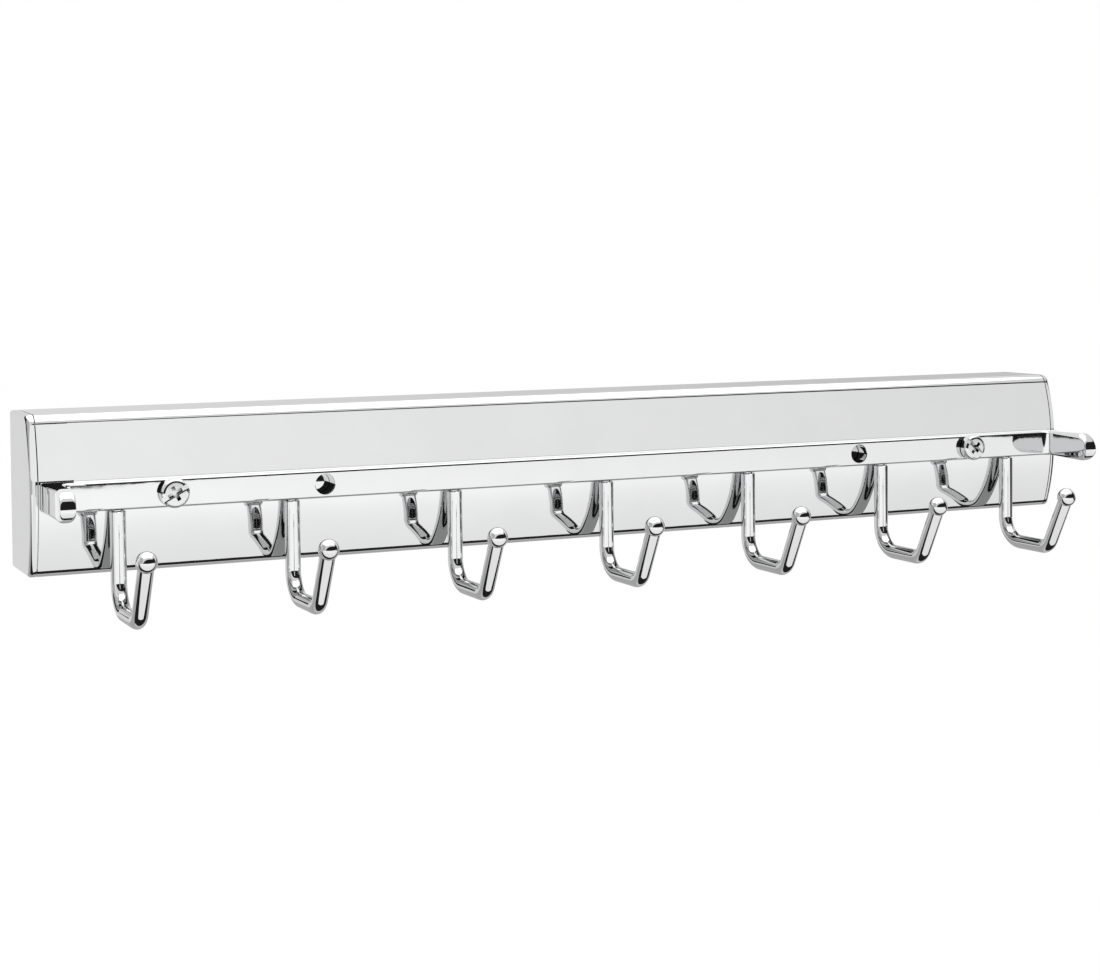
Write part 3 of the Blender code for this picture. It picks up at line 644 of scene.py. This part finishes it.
def make_end_cap(name, side, material, node, notched):
    """A rounded plate on an end of the cover, with a collar that plugs into the cover's hollow."""
    seam = side * (COVER_LENGTH / 2 - CAP_LENGTH)
    plate_back = side * (COVER_LENGTH / 2 - CAP_PLATE)
    plate_middle = side * (COVER_LENGTH / 2 - CAP_LENGTH / 2)
    collar_end = seam - side * COLLAR_LENGTH
    turns = [math.pi / 2 * i / EDGE_STEPS for i in range(EDGE_STEPS + 1)]
    rings = [[place(seam, point.x, point.y) for point, _, _ in cover_profile()]]
    rings += [cap_ring(turn, side) for turn in turns]
    cap = add_object(name, loft(name, rings))
    collar = prism("collar", hollow_section(SEAT_GAP, COVER_REAR_DEPTH), collar_end, plate_middle)
    room_section = hollow_section(SEAT_GAP + COLLAR_WALL, -COVER_REAR_DEPTH)
    room = prism("room", room_section, collar_end - side * COLLAR_LENGTH, plate_back)
    tools = [("UNION", collar), ("DIFFERENCE", room)]
    if notched:
        notch_half = SLIDE_WIDTH / 2 + SLIDE_NOTCH_ROOM
        low = (COVER_LENGTH / 2 - 2 * CAP_LENGTH, -SLIDE_NOTCH_ROOM, -notch_half)
        high = (COVER_LENGTH / 2 + CAP_LENGTH, SLIDE_THICKNESS + SLIDE_NOTCH_ROOM, notch_half)
        tools.append(("DIFFERENCE", block("notch", low, high)))
    shape(cap, tools)
    install(cap, material, "rack", "cover_chrome", node)


# Rail

def rounded_upright(inner, outer, bottom, top, bottom_radius, top_radius):
    """A rounded rectangle that stands between two (x, depth) points of a plan, as a ring of points."""
    width = (outer - inner).length
    across = (outer - inner) / width
    corners = (
        (bottom_radius, bottom + bottom_radius, bottom_radius, math.pi),
        (width - bottom_radius, bottom + bottom_radius, bottom_radius, 1.5 * math.pi),
        (width - top_radius, top - top_radius, top_radius, 0.0),
        (top_radius, top - top_radius, top_radius, 0.5 * math.pi),
    )
    ring = []
    for along, height, radius, start in corners:
        for p in arc(Vector((along, height)), radius, start, start + math.pi / 2, RAIL_EDGE_STEPS):
            plan = inner + across * p.x
            ring.append(place(plan.x, plan.y, p.y))
    return ring


def arm_rings():
    """Rings from the round nose of the arm at the far end of the rail back to the start of its fillet."""
    arm_inner = RAIL_END - ARM_WIDTH
    reach = ARM_REACH - ARM_FILLET
    turns = [NOSE_START + (math.pi / 2 - NOSE_START) * i / NOSE_STEPS for i in range(NOSE_STEPS + 1)]
    stations = [(NOSE_LENGTH * (1 - math.cos(turn)), math.sin(turn)) for turn in turns]
    stations += [(NOSE_LENGTH + (reach - NOSE_LENGTH) * share, 1.0) for share in ARM_SHARES]
    rings = []
    for behind, fullness in stations:
        along = 1 - behind / reach
        bottom = -RAIL_HEIGHT / 2 - NOSE_DROP * along
        top = RAIL_HEIGHT / 2 + NOSE_RISE * along
        tip = (bottom + top) / 2 - NOSE_TIP_DROP
        side = NOSE_SIDE_ROUND * (1 - fullness)
        under = RAIL_EDGE_RADIUS + (NOSE_UNDER_RADIUS - RAIL_EDGE_RADIUS) * along
        over = RAIL_EDGE_RADIUS + (NOSE_TOP_RADIUS - RAIL_EDGE_RADIUS) * along
        depth = ARM_FRONT_DEPTH - behind
        ring = rounded_upright(
            Vector((arm_inner + side, depth)),
            Vector((RAIL_END - side, depth)),
            tip + (bottom - tip) * fullness,
            tip + (top - tip) * fullness,
            under * fullness,
            over * fullness,
        )
        rings.append(ring)
    return rings


def corner_rings():
    """Rings round the corner between an arm and the rail, filleted inside and square outside."""
    centre = Vector((RAIL_END - ARM_WIDTH - ARM_FILLET, RAIL_FRONT_DEPTH + ARM_FILLET))
    rings = []
    for i, inner in enumerate(arc(centre, ARM_FILLET, 0.0, -math.pi / 2, FILLET_STEPS)):
        share = i / FILLET_STEPS
        if share <= 0.5:
            outer = Vector((RAIL_END, centre.y + (RAIL_REAR_DEPTH - centre.y) * 2 * share))
        else:
            outer = Vector((RAIL_END + (centre.x - RAIL_END) * (2 * share - 1), RAIL_REAR_DEPTH))
        ring = rounded_upright(
            inner, outer, -RAIL_HEIGHT / 2, RAIL_HEIGHT / 2, RAIL_EDGE_RADIUS, RAIL_EDGE_RADIUS
        )
        rings.append(ring)
    return rings


def rail_hole_tools():
    """Cuts for the screw holes, and for the plain holes with their rounded rims."""
    radius = RAIL_HOLE_DIAMETER / 2
    midway = HOLE_MIDWAY * HOLE_ROUNDING
    flare = [
        (radius + 2 * HOLE_ROUNDING, RAIL_FRONT_DEPTH + HOLE_ROUNDING),
        (radius + HOLE_ROUNDING, RAIL_FRONT_DEPTH),
        (radius + midway, RAIL_FRONT_DEPTH - midway),
        (radius, RAIL_FRONT_DEPTH - HOLE_ROUNDING),
        (radius, RAIL_REAR_DEPTH - RAIL_THICKNESS),
    ]
    through = (RAIL_FRONT_DEPTH + RAIL_THICKNESS, RAIL_REAR_DEPTH - RAIL_THICKNESS)
    tools = []
    for screw_x, hole_x in ((LEFT_SCREW_X, LEFT_HOLE_X), (RIGHT_SCREW_X, RIGHT_HOLE_X)):
        tools.append(("DIFFERENCE", bar("screw_hole", screw_x, through, SCREW_BORE)))
        tools.append(("DIFFERENCE", add_object("plain_hole", turned("plain_hole", flare, hole_x))))
    return tools


def socket_tools():
    """Cuts for the sockets that the hooks' stubs stand in."""
    below = -RAIL_HEIGHT / 2 - STUB_LENGTH
    above = -RAIL_HEIGHT / 2 + STUB_LENGTH + SEAT_GAP
    across = Vector((1, 0, 0))
    out = Vector((0, -1, 0))
    radius = SOCKET_DIAMETER / 2 * MM
    tools = []
    for _, x in hook_places():
        centres = [place(x, HOOK_DEPTH, height) for height in (below, above)]
        rings = [circle(centre, radius, across, out, SOCKET_SIDES) for centre in centres]
        tools.append(("DIFFERENCE", add_object("socket", loft("socket", rings))))
    return tools


def make_rail(material):
    half = arm_rings() + corner_rings()
    mirrored = [[Vector((-p.x, p.y, p.z)) for p in ring] for ring in reversed(half)]
    rail = add_object("rail_bar", loft("rail_bar", half + mirrored))
    shape(rail, rail_hole_tools() + socket_tools())
    install(rail, material, "rack", "rail_chrome", "hook_rail")


# Hooks

def hook_places():
    pitch = HOOK_SPAN / (HOOK_COUNT - 1)
    return [(i + 1, i * pitch - HOOK_SPAN / 2) for i in range(HOOK_COUNT)]


def hook_path():
    """(point, heading, radius) along a hook from stub to ball; heading 0 is down, a quarter turn is out."""
    rod = ROD_DIAMETER / 2
    tip_heading = math.pi - TIP_LEAN
    toe = Vector((HOOK_REACH - BALL_HEIGHT * math.tan(TIP_LEAN), -HOOK_DROP))
    tip_way = Vector((math.sin(TIP_LEAN), math.cos(TIP_LEAN)))
    ball = toe + tip_way * BALL_HEIGHT / math.cos(TIP_LEAN)
    front_start = toe.x - FRONT_BEND_RADIUS * math.tan((tip_heading - math.pi / 2) / 2)

    path = [
        (Vector((0, STUB_LENGTH)), 0.0, STUB_DIAMETER / 2),
        (Vector((0, -SEAT_GAP)), 0.0, STUB_DIAMETER / 2),
        (Vector((0, -SEAT_GAP)), 0.0, rod - ROD_CHAMFER),
        (Vector((0, -SEAT_GAP - ROD_CHAMFER)), 0.0, rod),
    ]
    rear_centre = Vector((REAR_BEND_RADIUS, REAR_BEND_RADIUS - HOOK_DROP))
    rear = arc(rear_centre, REAR_BEND_RADIUS, math.pi, 1.5 * math.pi, BEND_STEPS)
    path += [(p, math.pi / 2 * i / BEND_STEPS, rod) for i, p in enumerate(rear)]
    front_centre = Vector((front_start, FRONT_BEND_RADIUS - HOOK_DROP))
    front = arc(front_centre, FRONT_BEND_RADIUS, 1.5 * math.pi, math.pi + tip_heading, BEND_STEPS)
    turn = tip_heading - math.pi / 2
    path += [(p, math.pi / 2 + turn * i / BEND_STEPS, rod) for i, p in enumerate(front)]
    ball_radius = BALL_DIAMETER / 2
    neck = math.asin(rod / ball_radius)
    for i in range(BEND_STEPS + 1):
        angle = neck + (BALL_CROWN - neck) * i / BEND_STEPS
        point = ball - tip_way * ball_radius * math.cos(angle)
        path.append((point, tip_heading, ball_radius * math.sin(angle)))
    return path


def make_hooks(material):
    across = Vector((1, 0, 0))
    for number, x in hook_places():
        rings = []
        for point, heading, radius in hook_path():
            up = Vector((0, -math.cos(heading), math.sin(heading)))
            centre = place(x, HOOK_DEPTH + point.x, point.y - RAIL_HEIGHT / 2)
            rings.append(circle(centre, radius * MM, across, up, ROD_SIDES))
        hook = add_object(f"hook_rod_{number}", loft(f"hook_rod_{number}", rings))
        install(hook, material, "rack", "hook_chrome", f"hook_{number}")


# Fasteners

def screw_profile(tip_depth, head_seat):
    """(radius, depth) pairs of a rod with thread ridges and a flat-topped round head."""
    rod = SCREW_DIAMETER / 2
    rim = HEAD_DIAMETER / 2
    root = rod - THREAD_DEPTH
    depth = tip_depth + THREAD_PITCH / 2
    profile = [(root, tip_depth), (root, depth)]
    while depth < BOSS_FOOT_DEPTH:
        profile += [(rod, depth + THREAD_PITCH / 2), (root, depth + THREAD_PITCH)]
        depth += THREAD_PITCH
    profile += [(rod, depth + THREAD_PITCH / 2), (rod, head_seat), (rim, head_seat)]
    edge_centre = Vector((rim - HEAD_EDGE_RADIUS, head_seat + HEAD_HEIGHT - HEAD_EDGE_RADIUS))
    edge = arc(edge_centre, HEAD_EDGE_RADIUS, 0.0, math.pi / 2, EDGE_STEPS)
    return profile + [tuple(p) for p in edge]


def recess_tools(x, crown, angle):
    """Cuts for the slot and the cross in a screw's head."""
    slot = (HEAD_DIAMETER, SLOT_WIDTH, SLOT_DEPTH, 0.0)
    arm_along = (CROSS_LENGTH / 2, CROSS_WIDTH, CROSS_DEPTH, 0.0)
    arm_across = (CROSS_LENGTH / 2, CROSS_WIDTH, CROSS_DEPTH, math.pi / 2)
    tools = []
    for length, width, depth, turn in (slot, arm_along, arm_across):
        low = (-length, crown - depth, -width / 2)
        high = (length, crown + HEAD_HEIGHT, width / 2)
        tool = block("recess", low, high)
        tool.data.transform(Matrix.Rotation(-(angle + turn), 4, "Y"))
        tool.data.transform(Matrix.Translation(place(x, 0, 0)))
        tools.append(("DIFFERENCE", tool))
    return tools


def make_screw(side, x, tip_depth, recess_angle, material):
    name = f"screw_{side}"
    head_seat = RAIL_FRONT_DEPTH + SEAT_GAP
    screw = add_object(name, turned(name, screw_profile(tip_depth, head_seat), x))
    shape(screw, recess_tools(x, head_seat + HEAD_HEIGHT, recess_angle))
    install(screw, material, "rack", "screw_chrome", f"rail_screw_{side}")


def make_washer(side, x, seat, hole_depths, material):
    name = f"washer_ring_{side}"
    radius = WASHER_DIAMETER / 2
    washer = add_object(name, turned(name, [(radius, seat), (radius, seat - WASHER_THICKNESS)], x))
    shape(washer, [("DIFFERENCE", bar("washer_hole", x, hole_depths, SCREW_BORE))])
    install(washer, material, "rack", "zinc_fastener", f"washer_{side}")


def make_nut(side, x, seat, hole_depths, material):
    """A hexagon with its corners chamfered at both ends."""
    name = f"nut_hexagon_{side}"
    end = seat - NUT_HEIGHT
    corner = NUT_FLATS / math.sqrt(3)
    flats = NUT_FLATS / 2
    chamfer = corner - flats
    nut = add_object(name, turned(name, [(corner, seat), (corner, end)], x, NUT_SIDES))
    lens = [
        (flats, seat),
        (flats + chamfer, seat - chamfer / 2),
        (flats + chamfer, end + chamfer / 2),
        (flats, end),
    ]
    rounding = add_object("nut_rounding", turned("nut_rounding", lens, x))
    hole = bar("nut_hole", x, hole_depths, SCREW_BORE)
    shape(nut, [("INTERSECT", rounding), ("DIFFERENCE", hole)])
    install(nut, material, "rack", "zinc_fastener", f"nut_{side}")


def make_fasteners(head_material, zinc_material):
    washer_seat = SLIDE_THICKNESS - SHEET - SEAT_GAP
    nut_seat = washer_seat - WASHER_THICKNESS - SEAT_GAP
    tip_depth = nut_seat - NUT_HEIGHT - SCREW_TIP
    hole_depths = (washer_seat + NUT_HEIGHT, tip_depth - NUT_HEIGHT)
    sides = (("left", LEFT_SCREW_X, LEFT_RECESS_ANGLE), ("right", RIGHT_SCREW_X, RIGHT_RECESS_ANGLE))
    for side, x, recess_angle in sides:
        make_screw(side, x, tip_depth, recess_angle, head_material)
        make_washer(side, x, washer_seat, hole_depths, zinc_material)
        make_nut(side, x, nut_seat, hole_depths, zinc_material)


# Slide

def strip(name, half, sheet, start, end):
    """A formed strip: half a section's middle line, mirrored, thickened and drawn out along the rack."""
    line = half + [Vector((p.x, -p.y)) for p in reversed(half)]
    sides = []
    for i, point in enumerate(line):
        before = line[max(i - 1, 0)]
        after = line[min(i + 1, len(line) - 1)]
        along = (after - before).normalized()
        sides.append((point, Vector((-along.y, along.x)) * sheet / 2))
    outline = [p + n for p, n in sides] + [p - n for p, n in reversed(sides)]
    return add_object(name, loft(name, [[place(x, p.x, p.y) for p in outline] for x in (start, end)]))


def bend(web_depth, flange_height, towards):
    """The rounded corner between a flange and its web, which lies to the left (-1) or right (1) of it."""
    centre = Vector((web_depth - towards * BEND_RADIUS, flange_height - BEND_RADIUS))
    return arc(centre, BEND_RADIUS, math.pi / 2, math.pi / 2 * (1 - towards), CHANNEL_BEND_STEPS)


def outer_line():
    lip = arc(OUTER_RACE, RACE_RADIUS, OUTER_LIP_ANGLE, math.pi / 2, LIP_STEPS)
    return lip + bend(OUTER_WEB_DEPTH, OUTER_FLANGE_HEIGHT, -1)


def middle_line():
    over = arc(INNER_RACE, RACE_RADIUS, OUTER_LIP_ANGLE, math.pi - RACE_TILT, OVER_RACE_STEPS)
    under = arc(OUTER_RACE, RACE_RADIUS, 2 * math.pi - RACE_TILT, 1.5 * math.pi, UNDER_RACE_STEPS)
    return over + under[1:] + bend(MIDDLE_WEB_DEPTH, MIDDLE_FLANGE_HEIGHT, -1)


def inner_line():
    under = arc(INNER_RACE, RACE_RADIUS, INNER_LIP_ANGLE, 1.5 * math.pi, INNER_LIP_STEPS)
    return under + bend(INNER_WEB_DEPTH, INNER_FLANGE_HEIGHT, 1)


def cage_line(web_depth, race_depth, height):
    edge = Vector((race_depth + CAGE_OVERHANG, height))
    return [edge] + bend(web_depth, height, -1)


def drilled(obj, places, web_depth):
    depths = (web_depth + SHEET, web_depth - SHEET)
    shape(obj, [("DIFFERENCE", bar("hole", x, depths, diameter)) for x, diameter in places])


def make_slide(material):
    mount_x = SLIDE_LENGTH / 2 - MOUNT_HOLE_INSET
    mounts = (-mount_x, -mount_x / 2, mount_x / 2, mount_x)
    outer = strip("outer_channel", outer_line(), SHEET, SLIDE_START, OUTER_END)
    stem = (OUTER_END - BUMPER_LENGTH / 2, STEM_HOLE_DIAMETER)
    drilled(outer, [(x, MOUNT_HOLE_DIAMETER) for x in mounts] + [stem], OUTER_WEB_DEPTH)
    install(outer, material, "slide_outer", "slide_steel", "slide_outer_member")

    middle = strip("middle_channel", middle_line(), SHEET, SLIDE_START, MIDDLE_END)
    stem = (MIDDLE_END - BUMPER_LENGTH / 2, STEM_HOLE_DIAMETER)
    drilled(middle, [(x, ACCESS_HOLE_DIAMETER) for x in mounts[:3]] + [stem], MIDDLE_WEB_DEPTH)
    install(middle, material, "slide_middle", "slide_steel", "slide_middle_member")

    inner = strip("inner_channel", inner_line(), SHEET, SLIDE_START, INNER_END)
    drilled(inner, [(LEFT_SCREW_X, SCREW_BORE), (RIGHT_SCREW_X, SCREW_BORE)], INNER_WEB_DEPTH)
    install(inner, material, "rack", "slide_steel", "slide_inner_member")


def balls_mesh(name, race, radius):
    """The balls of the upper and lower row of a cage."""
    bm = bmesh.new()
    first = CAGE_END_MARGIN - CAGE_LENGTH / 2
    pitch = -2 * first / (BALLS_PER_ROW - 1)
    for row in (-1, 1):
        for i in range(BALLS_PER_ROW):
            at = Matrix.Translation(place(first + i * pitch, race.x, row * race.y))
            bmesh.ops.create_uvsphere(
                bm, u_segments=RACE_BALL_SIDES, v_segments=RACE_BALL_ROWS, radius=radius * MM, matrix=at
            )
    return mesh_from(name, bm)


def make_cage(side, web_depth, race, height, cage_material, ball_material):
    name = f"{side}_cage_strip"
    cage = strip(name, cage_line(web_depth, race.x, height), CAGE_SHEET, -CAGE_LENGTH / 2, CAGE_LENGTH / 2)
    pockets = add_object("pockets", balls_mesh("pockets", race, RACE_BALL_DIAMETER / 2 + POCKET_ROOM))
    shape(cage, [("DIFFERENCE", pockets)])
    install(cage, cage_material, f"{side}_cage", "cage_steel", f"{side}_ball_cage")
    name = f"{side}_cage_balls"
    balls = add_object(name, balls_mesh(name, race, RACE_BALL_DIAMETER / 2))
    install(balls, ball_material, f"{side}_cage", "cage_steel")


# Studio

def rectangle(across, along):
    """The corners of a rectangle between two pairs of places."""
    left, right = across
    near, far = along
    return [(left, near), (right, near), (right, far), (left, far)]


def add_camera():
    forward = Vector((
        math.sin(CAMERA_YAW) * math.cos(CAMERA_PITCH),
        math.cos(CAMERA_YAW) * math.cos(CAMERA_PITCH),
        -math.sin(CAMERA_PITCH),
    ))
    level = forward.cross(Vector((0, 0, 1))).normalized()
    down = forward.cross(level)
    right = math.cos(CAMERA_ROLL) * level + math.sin(CAMERA_ROLL) * down
    up = right.cross(forward)
    camera = bpy.data.objects.new("photo_camera", bpy.data.cameras.new("photo_camera"))
    bpy.context.scene.collection.objects.link(camera)
    turn = Matrix((right, up, -forward)).transposed()
    camera.matrix_world = Matrix.Translation(CAMERA_PLACE) @ turn.to_4x4()
    camera.data.sensor_width = SENSOR_WIDTH
    camera.data.lens = SENSOR_WIDTH * FOCAL_PIXELS / PHOTO_WIDTH
    camera.data.shift_x = (PHOTO_WIDTH / 2 - PRINCIPAL_X) / PHOTO_WIDTH
    camera.data.shift_y = (PRINCIPAL_Y - PHOTO_HEIGHT / 2) / PHOTO_WIDTH
    camera.data.clip_start = CAMERA_NEAR
    bpy.context.scene.camera = camera


def seen_directly(tree):
    """1 for a ray from the camera or one passed on by a mirror or glass, and 0 for one that only lights."""
    path = tree.nodes.new("ShaderNodeLightPath")
    seen = combine(tree, "MAXIMUM", path.outputs["Is Camera Ray"], path.outputs["Is Glossy Ray"])
    return combine(tree, "MAXIMUM", seen, path.outputs["Is Transmission Ray"])


def add_world():
    world = bpy.data.worlds.new("white_room")
    world.use_nodes = True
    tree = world.node_tree
    background = tree.nodes["Background"]
    background.inputs["Color"].default_value = (1.0, 1.0, 1.0, 1.0)
    level = spread(tree, seen_directly(tree), ROOM_LIGHT, 1.0, start=0.0, end=1.0)
    tree.links.new(level, background.inputs["Strength"])
    bpy.context.scene.world = world


def add_floor():
    mesh = bpy.data.meshes.new("floor")
    width = (-FLOOR_SIZE / 2, FLOOR_SIZE / 2)
    corners = [(x, y, FLOOR_HEIGHT) for x, y in rectangle(width, width)]
    mesh.from_pydata(corners, [], [range(len(corners))])
    floor = add_object("floor", mesh)
    material, tree, shader = node_tree("pale_floor")
    shader.inputs["Base Color"].default_value = FLOOR_COLOUR
    shader.inputs["Roughness"].default_value = FLOOR_ROUGHNESS
    glow = tree.nodes.new("ShaderNodeEmission")
    mix = tree.nodes.new("ShaderNodeMixShader")
    share = spread(tree, seen_directly(tree), 0.0, FLOOR_GLOW, start=0.0, end=1.0)
    tree.links.new(share, mix.inputs["Fac"])
    tree.links.new(shader.outputs["BSDF"], mix.inputs[1])
    tree.links.new(glow.outputs["Emission"], mix.inputs[2])
    tree.links.new(mix.outputs["Shader"], tree.nodes["Material Output"].inputs["Surface"])
    mesh.materials.append(material)


def add_card(name, corners, level=1.0):
    """A studio card that only mirrors see: its corners in metres and its level."""
    mesh = bpy.data.meshes.new(name)
    mesh.from_pydata(corners, [], [range(len(corners))])
    card = add_object(name, mesh)
    material = bpy.data.materials.new(name)
    material.use_nodes = True
    tree = material.node_tree
    tree.nodes.clear()
    glow = tree.nodes.new("ShaderNodeEmission")
    glow.inputs["Strength"].default_value = level
    output = tree.nodes.new("ShaderNodeOutputMaterial")
    tree.links.new(glow.outputs["Emission"], output.inputs["Surface"])
    mesh.materials.append(material)
    card.visible_camera = False
    card.visible_diffuse = False
    card.visible_shadow = False
    return tree, glow


def fade(tree, axis, places, levels):
    """A value that runs from one level to another between two places along an axis."""
    coordinates = tree.nodes.new("ShaderNodeTexCoord")
    split = tree.nodes.new("ShaderNodeSeparateXYZ")
    tree.links.new(coordinates.outputs["Object"], split.inputs["Vector"])
    return spread(tree, split.outputs[axis], *levels, *places)


def second_mirror(tree, first, second):
    """One value for a mirror that the camera sees, and another for a mirror seen in a mirror."""
    path = tree.nodes.new("ShaderNodeLightPath")
    return spread(tree, path.outputs["Glossy Depth"], first, second, start=1.0, end=2.0)


def first_mirror_only(tree, glow):
    """Lets a card show in a mirror that the camera sees, but not in a mirror seen in a mirror."""
    clear = tree.nodes.new("ShaderNodeBsdfTransparent")
    mix = tree.nodes.new("ShaderNodeMixShader")
    tree.links.new(second_mirror(tree, 0.0, 1.0), mix.inputs["Fac"])
    tree.links.new(glow.outputs["Emission"], mix.inputs[1])
    tree.links.new(clear.outputs["BSDF"], mix.inputs[2])
    tree.links.new(mix.outputs["Shader"], tree.nodes["Material Output"].inputs["Surface"])


def level_card(name, outline, height, level=1.0):
    return add_card(name, [(x, y, height) for x, y in outline], level)


def upright_card(name, outline, y, level=1.0):
    return add_card(name, [(x, y, height) for x, height in outline], level)


def side_card(name, outline, x, level=1.0):
    return add_card(name, [(x, y, height) for y, height in outline], level)


def add_lamp(name, where, size, power):
    lamp = bpy.data.lights.new(name, "AREA")
    lamp.shape = "RECTANGLE"
    lamp.size, lamp.size_y = size
    lamp.energy = power
    obj = bpy.data.objects.new(name, lamp)
    bpy.context.scene.collection.objects.link(obj)
    obj.location = where
    obj.rotation_mode = "QUATERNION"
    obj.rotation_quaternion = (-Vector(where)).to_track_quat("-Z", "Y")


def add_table():
    width = (CARD_LEFT, CARD_RIGHT)
    tree, glow = level_card("table", rectangle(width, (TABLE_FRONT, TABLE_BACK)), TABLE_HEIGHT)
    along = fade(tree, "Y", (TABLE_BACK, TABLE_BRIGHT_PLACE), (TABLE_BACK_LEVEL, TABLE_BRIGHT_LEVEL))
    across = fade(tree, "X", TABLE_DIM_PLACES, (1.0, TABLE_DIM_SHARE))
    tree.links.new(combine(tree, "MULTIPLY", along, across), glow.inputs["Strength"])

    # The rack's shadow on the table, painted as a dark card
    level_card("shadow", rectangle(width, (TABLE_BACK, UNDER_BACK)), TABLE_HEIGHT - CARD_GAP, DARK)
    corner = [
        (DARK_CORNER_START, UNDER_FRONT),
        (DARK_CORNER_END, DARK_CORNER_FRONT),
        (CARD_RIGHT, DARK_CORNER_FRONT),
        (CARD_RIGHT, UNDER_FRONT),
    ]
    level_card("dark_corner", corner, TABLE_HEIGHT + CARD_GAP, DARK)

    corner_x, corner_y = UNDER_CORNER
    under = [
        (corner_x, UNDER_FRONT),
        (CARD_RIGHT, UNDER_FRONT),
        (CARD_RIGHT, UNDER_BACK),
        (CARD_LEFT, UNDER_BACK),
        (CARD_LEFT, corner_y),
        (corner_x, corner_y),
    ]
    # The ground under the rack, painted grey as the rack's shade and darker further back
    tree, glow = level_card("under_rack_shade", under, TABLE_HEIGHT)
    level = fade(tree, "Y", (UNDER_FRONT, UNDER_FADE_END), (UNDER_FRONT_LEVEL, UNDER_BACK_LEVEL))
    tree.links.new(level, glow.inputs["Strength"])


def add_walls():
    upright_card("dark_room", ROOM_OUTLINE, ROOM_PLACE, DARK)
    side_card("dark_right", rectangle(DARK_RIGHT_ENDS, DARK_RIGHT_HEIGHTS), DARK_RIGHT_PLACE, DARK)
    side_card("dark_left", rectangle(DARK_LEFT_ENDS, DARK_LEFT_HEIGHTS), CARD_LEFT, DARK)
    back_left = rectangle((CARD_LEFT, DARK_BACK_LEFT_END), DARK_LEFT_HEIGHTS)
    upright_card("dark_back_left", back_left, DARK_LEFT_ENDS[1], DARK)
    side_card("left_wall", rectangle(LEFT_WALL_ENDS, LEFT_WALL_HEIGHTS), LEFT_WALL_PLACE, LEFT_WALL_LEVEL)
    back_wall = rectangle(BACK_WALL_ENDS, BACK_WALL_HEIGHTS)
    tree, glow = upright_card("back_wall", back_wall, BACK_WALL_PLACE)
    tree.links.new(fade(tree, "X", BACK_WALL_FADE, BACK_WALL_LEVELS), glow.inputs["Strength"])


def add_fills():
    face = rectangle(FACE_FILL_ENDS, FACE_FILL_HEIGHTS)
    tree, glow = upright_card("face_fill", face, FACE_FILL_PLACE)
    across = fade(tree, "X", FACE_FILL_FADE, FACE_FILL_LEVELS)
    share = second_mirror(tree, 1.0, FACE_FILL_SECOND_MIRROR)
    tree.links.new(combine(tree, "MULTIPLY", across, share), glow.inputs["Strength"])

    corner = rectangle(CORNER_FILL_ENDS, CORNER_FILL_HEIGHTS)
    tree, glow = upright_card("corner_fill", corner, CORNER_FILL_PLACE, CORNER_FILL_LEVEL)
    first_mirror_only(tree, glow)
    end = rectangle(END_FILL_ENDS, (END_FILL_BOTTOM, CORNER_FILL_HEIGHTS[0]))
    upright_card("end_fill", end, CORNER_FILL_PLACE, END_FILL_LEVEL)


def add_studio():
    add_camera()
    add_world()
    add_floor()
    add_lamp("top_softbox", LAMP_PLACE, LAMP_SIZE, LAMP_POWER)
    add_table()
    add_walls()
    add_fills()


def main():
    cover_chrome = chrome("cover_chrome", CHROME_COLOURS, CHROME_ROUGHNESS, COVER_WAVE)
    rail_chrome = chrome("rail_chrome", CHROME_COLOURS, CHROME_ROUGHNESS, RAIL_WAVE)
    hook_chrome = chrome("hook_chrome", HOOK_COLOURS, CHROME_ROUGHNESS, HOOK_WAVE)
    screw_chrome = chrome("screw_chrome", SCREW_COLOURS, SCREW_ROUGHNESS, SCREW_WAVE)
    # Painted shade in the screws' recesses
    paint_recess_shade(screw_chrome)
    fastener_zinc = zinc("fastener_zinc", FASTENER_COLOURS, FASTENER_ROUGHNESS)
    slide_zinc = zinc("slide_zinc", SLIDE_COLOURS, SLIDE_ROUGHNESS)
    cage_steel = greased("cage_steel", CAGE_COLOURS, CAGE_ROUGHNESS)
    ball_steel = chrome("ball_steel", BALL_COLOURS, BALL_ROUGHNESS, BALL_WAVE)
    bumper_rubber = rubber("bumper_rubber", RUBBER_COLOURS, RUBBER_ROUGHNESS)

    make_cover(cover_chrome)
    make_end_cap("cap_left", -1, cover_chrome, "end_cap_left", False)
    make_end_cap("cap_right", 1, cover_chrome, "end_cap_right", True)
    make_rail(rail_chrome)
    make_hooks(hook_chrome)
    make_fasteners(screw_chrome, fastener_zinc)
    make_slide(slide_zinc)
    make_cage("outer", OUTER_CAGE_DEPTH, OUTER_RACE, OUTER_RACE.y, cage_steel, ball_steel)
    make_cage("inner", INNER_CAGE_DEPTH, INNER_RACE, INNER_CAGE_HEIGHT, cage_steel, ball_steel)
    for name in ("outer_bumper", "middle_bumper"):
        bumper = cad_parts[name]
        bumper.data.materials.clear()
        bumper.data.materials.append(bumper_rubber)

    bpy.context.scene.view_settings.view_transform = "Standard"
    add_studio()


main()
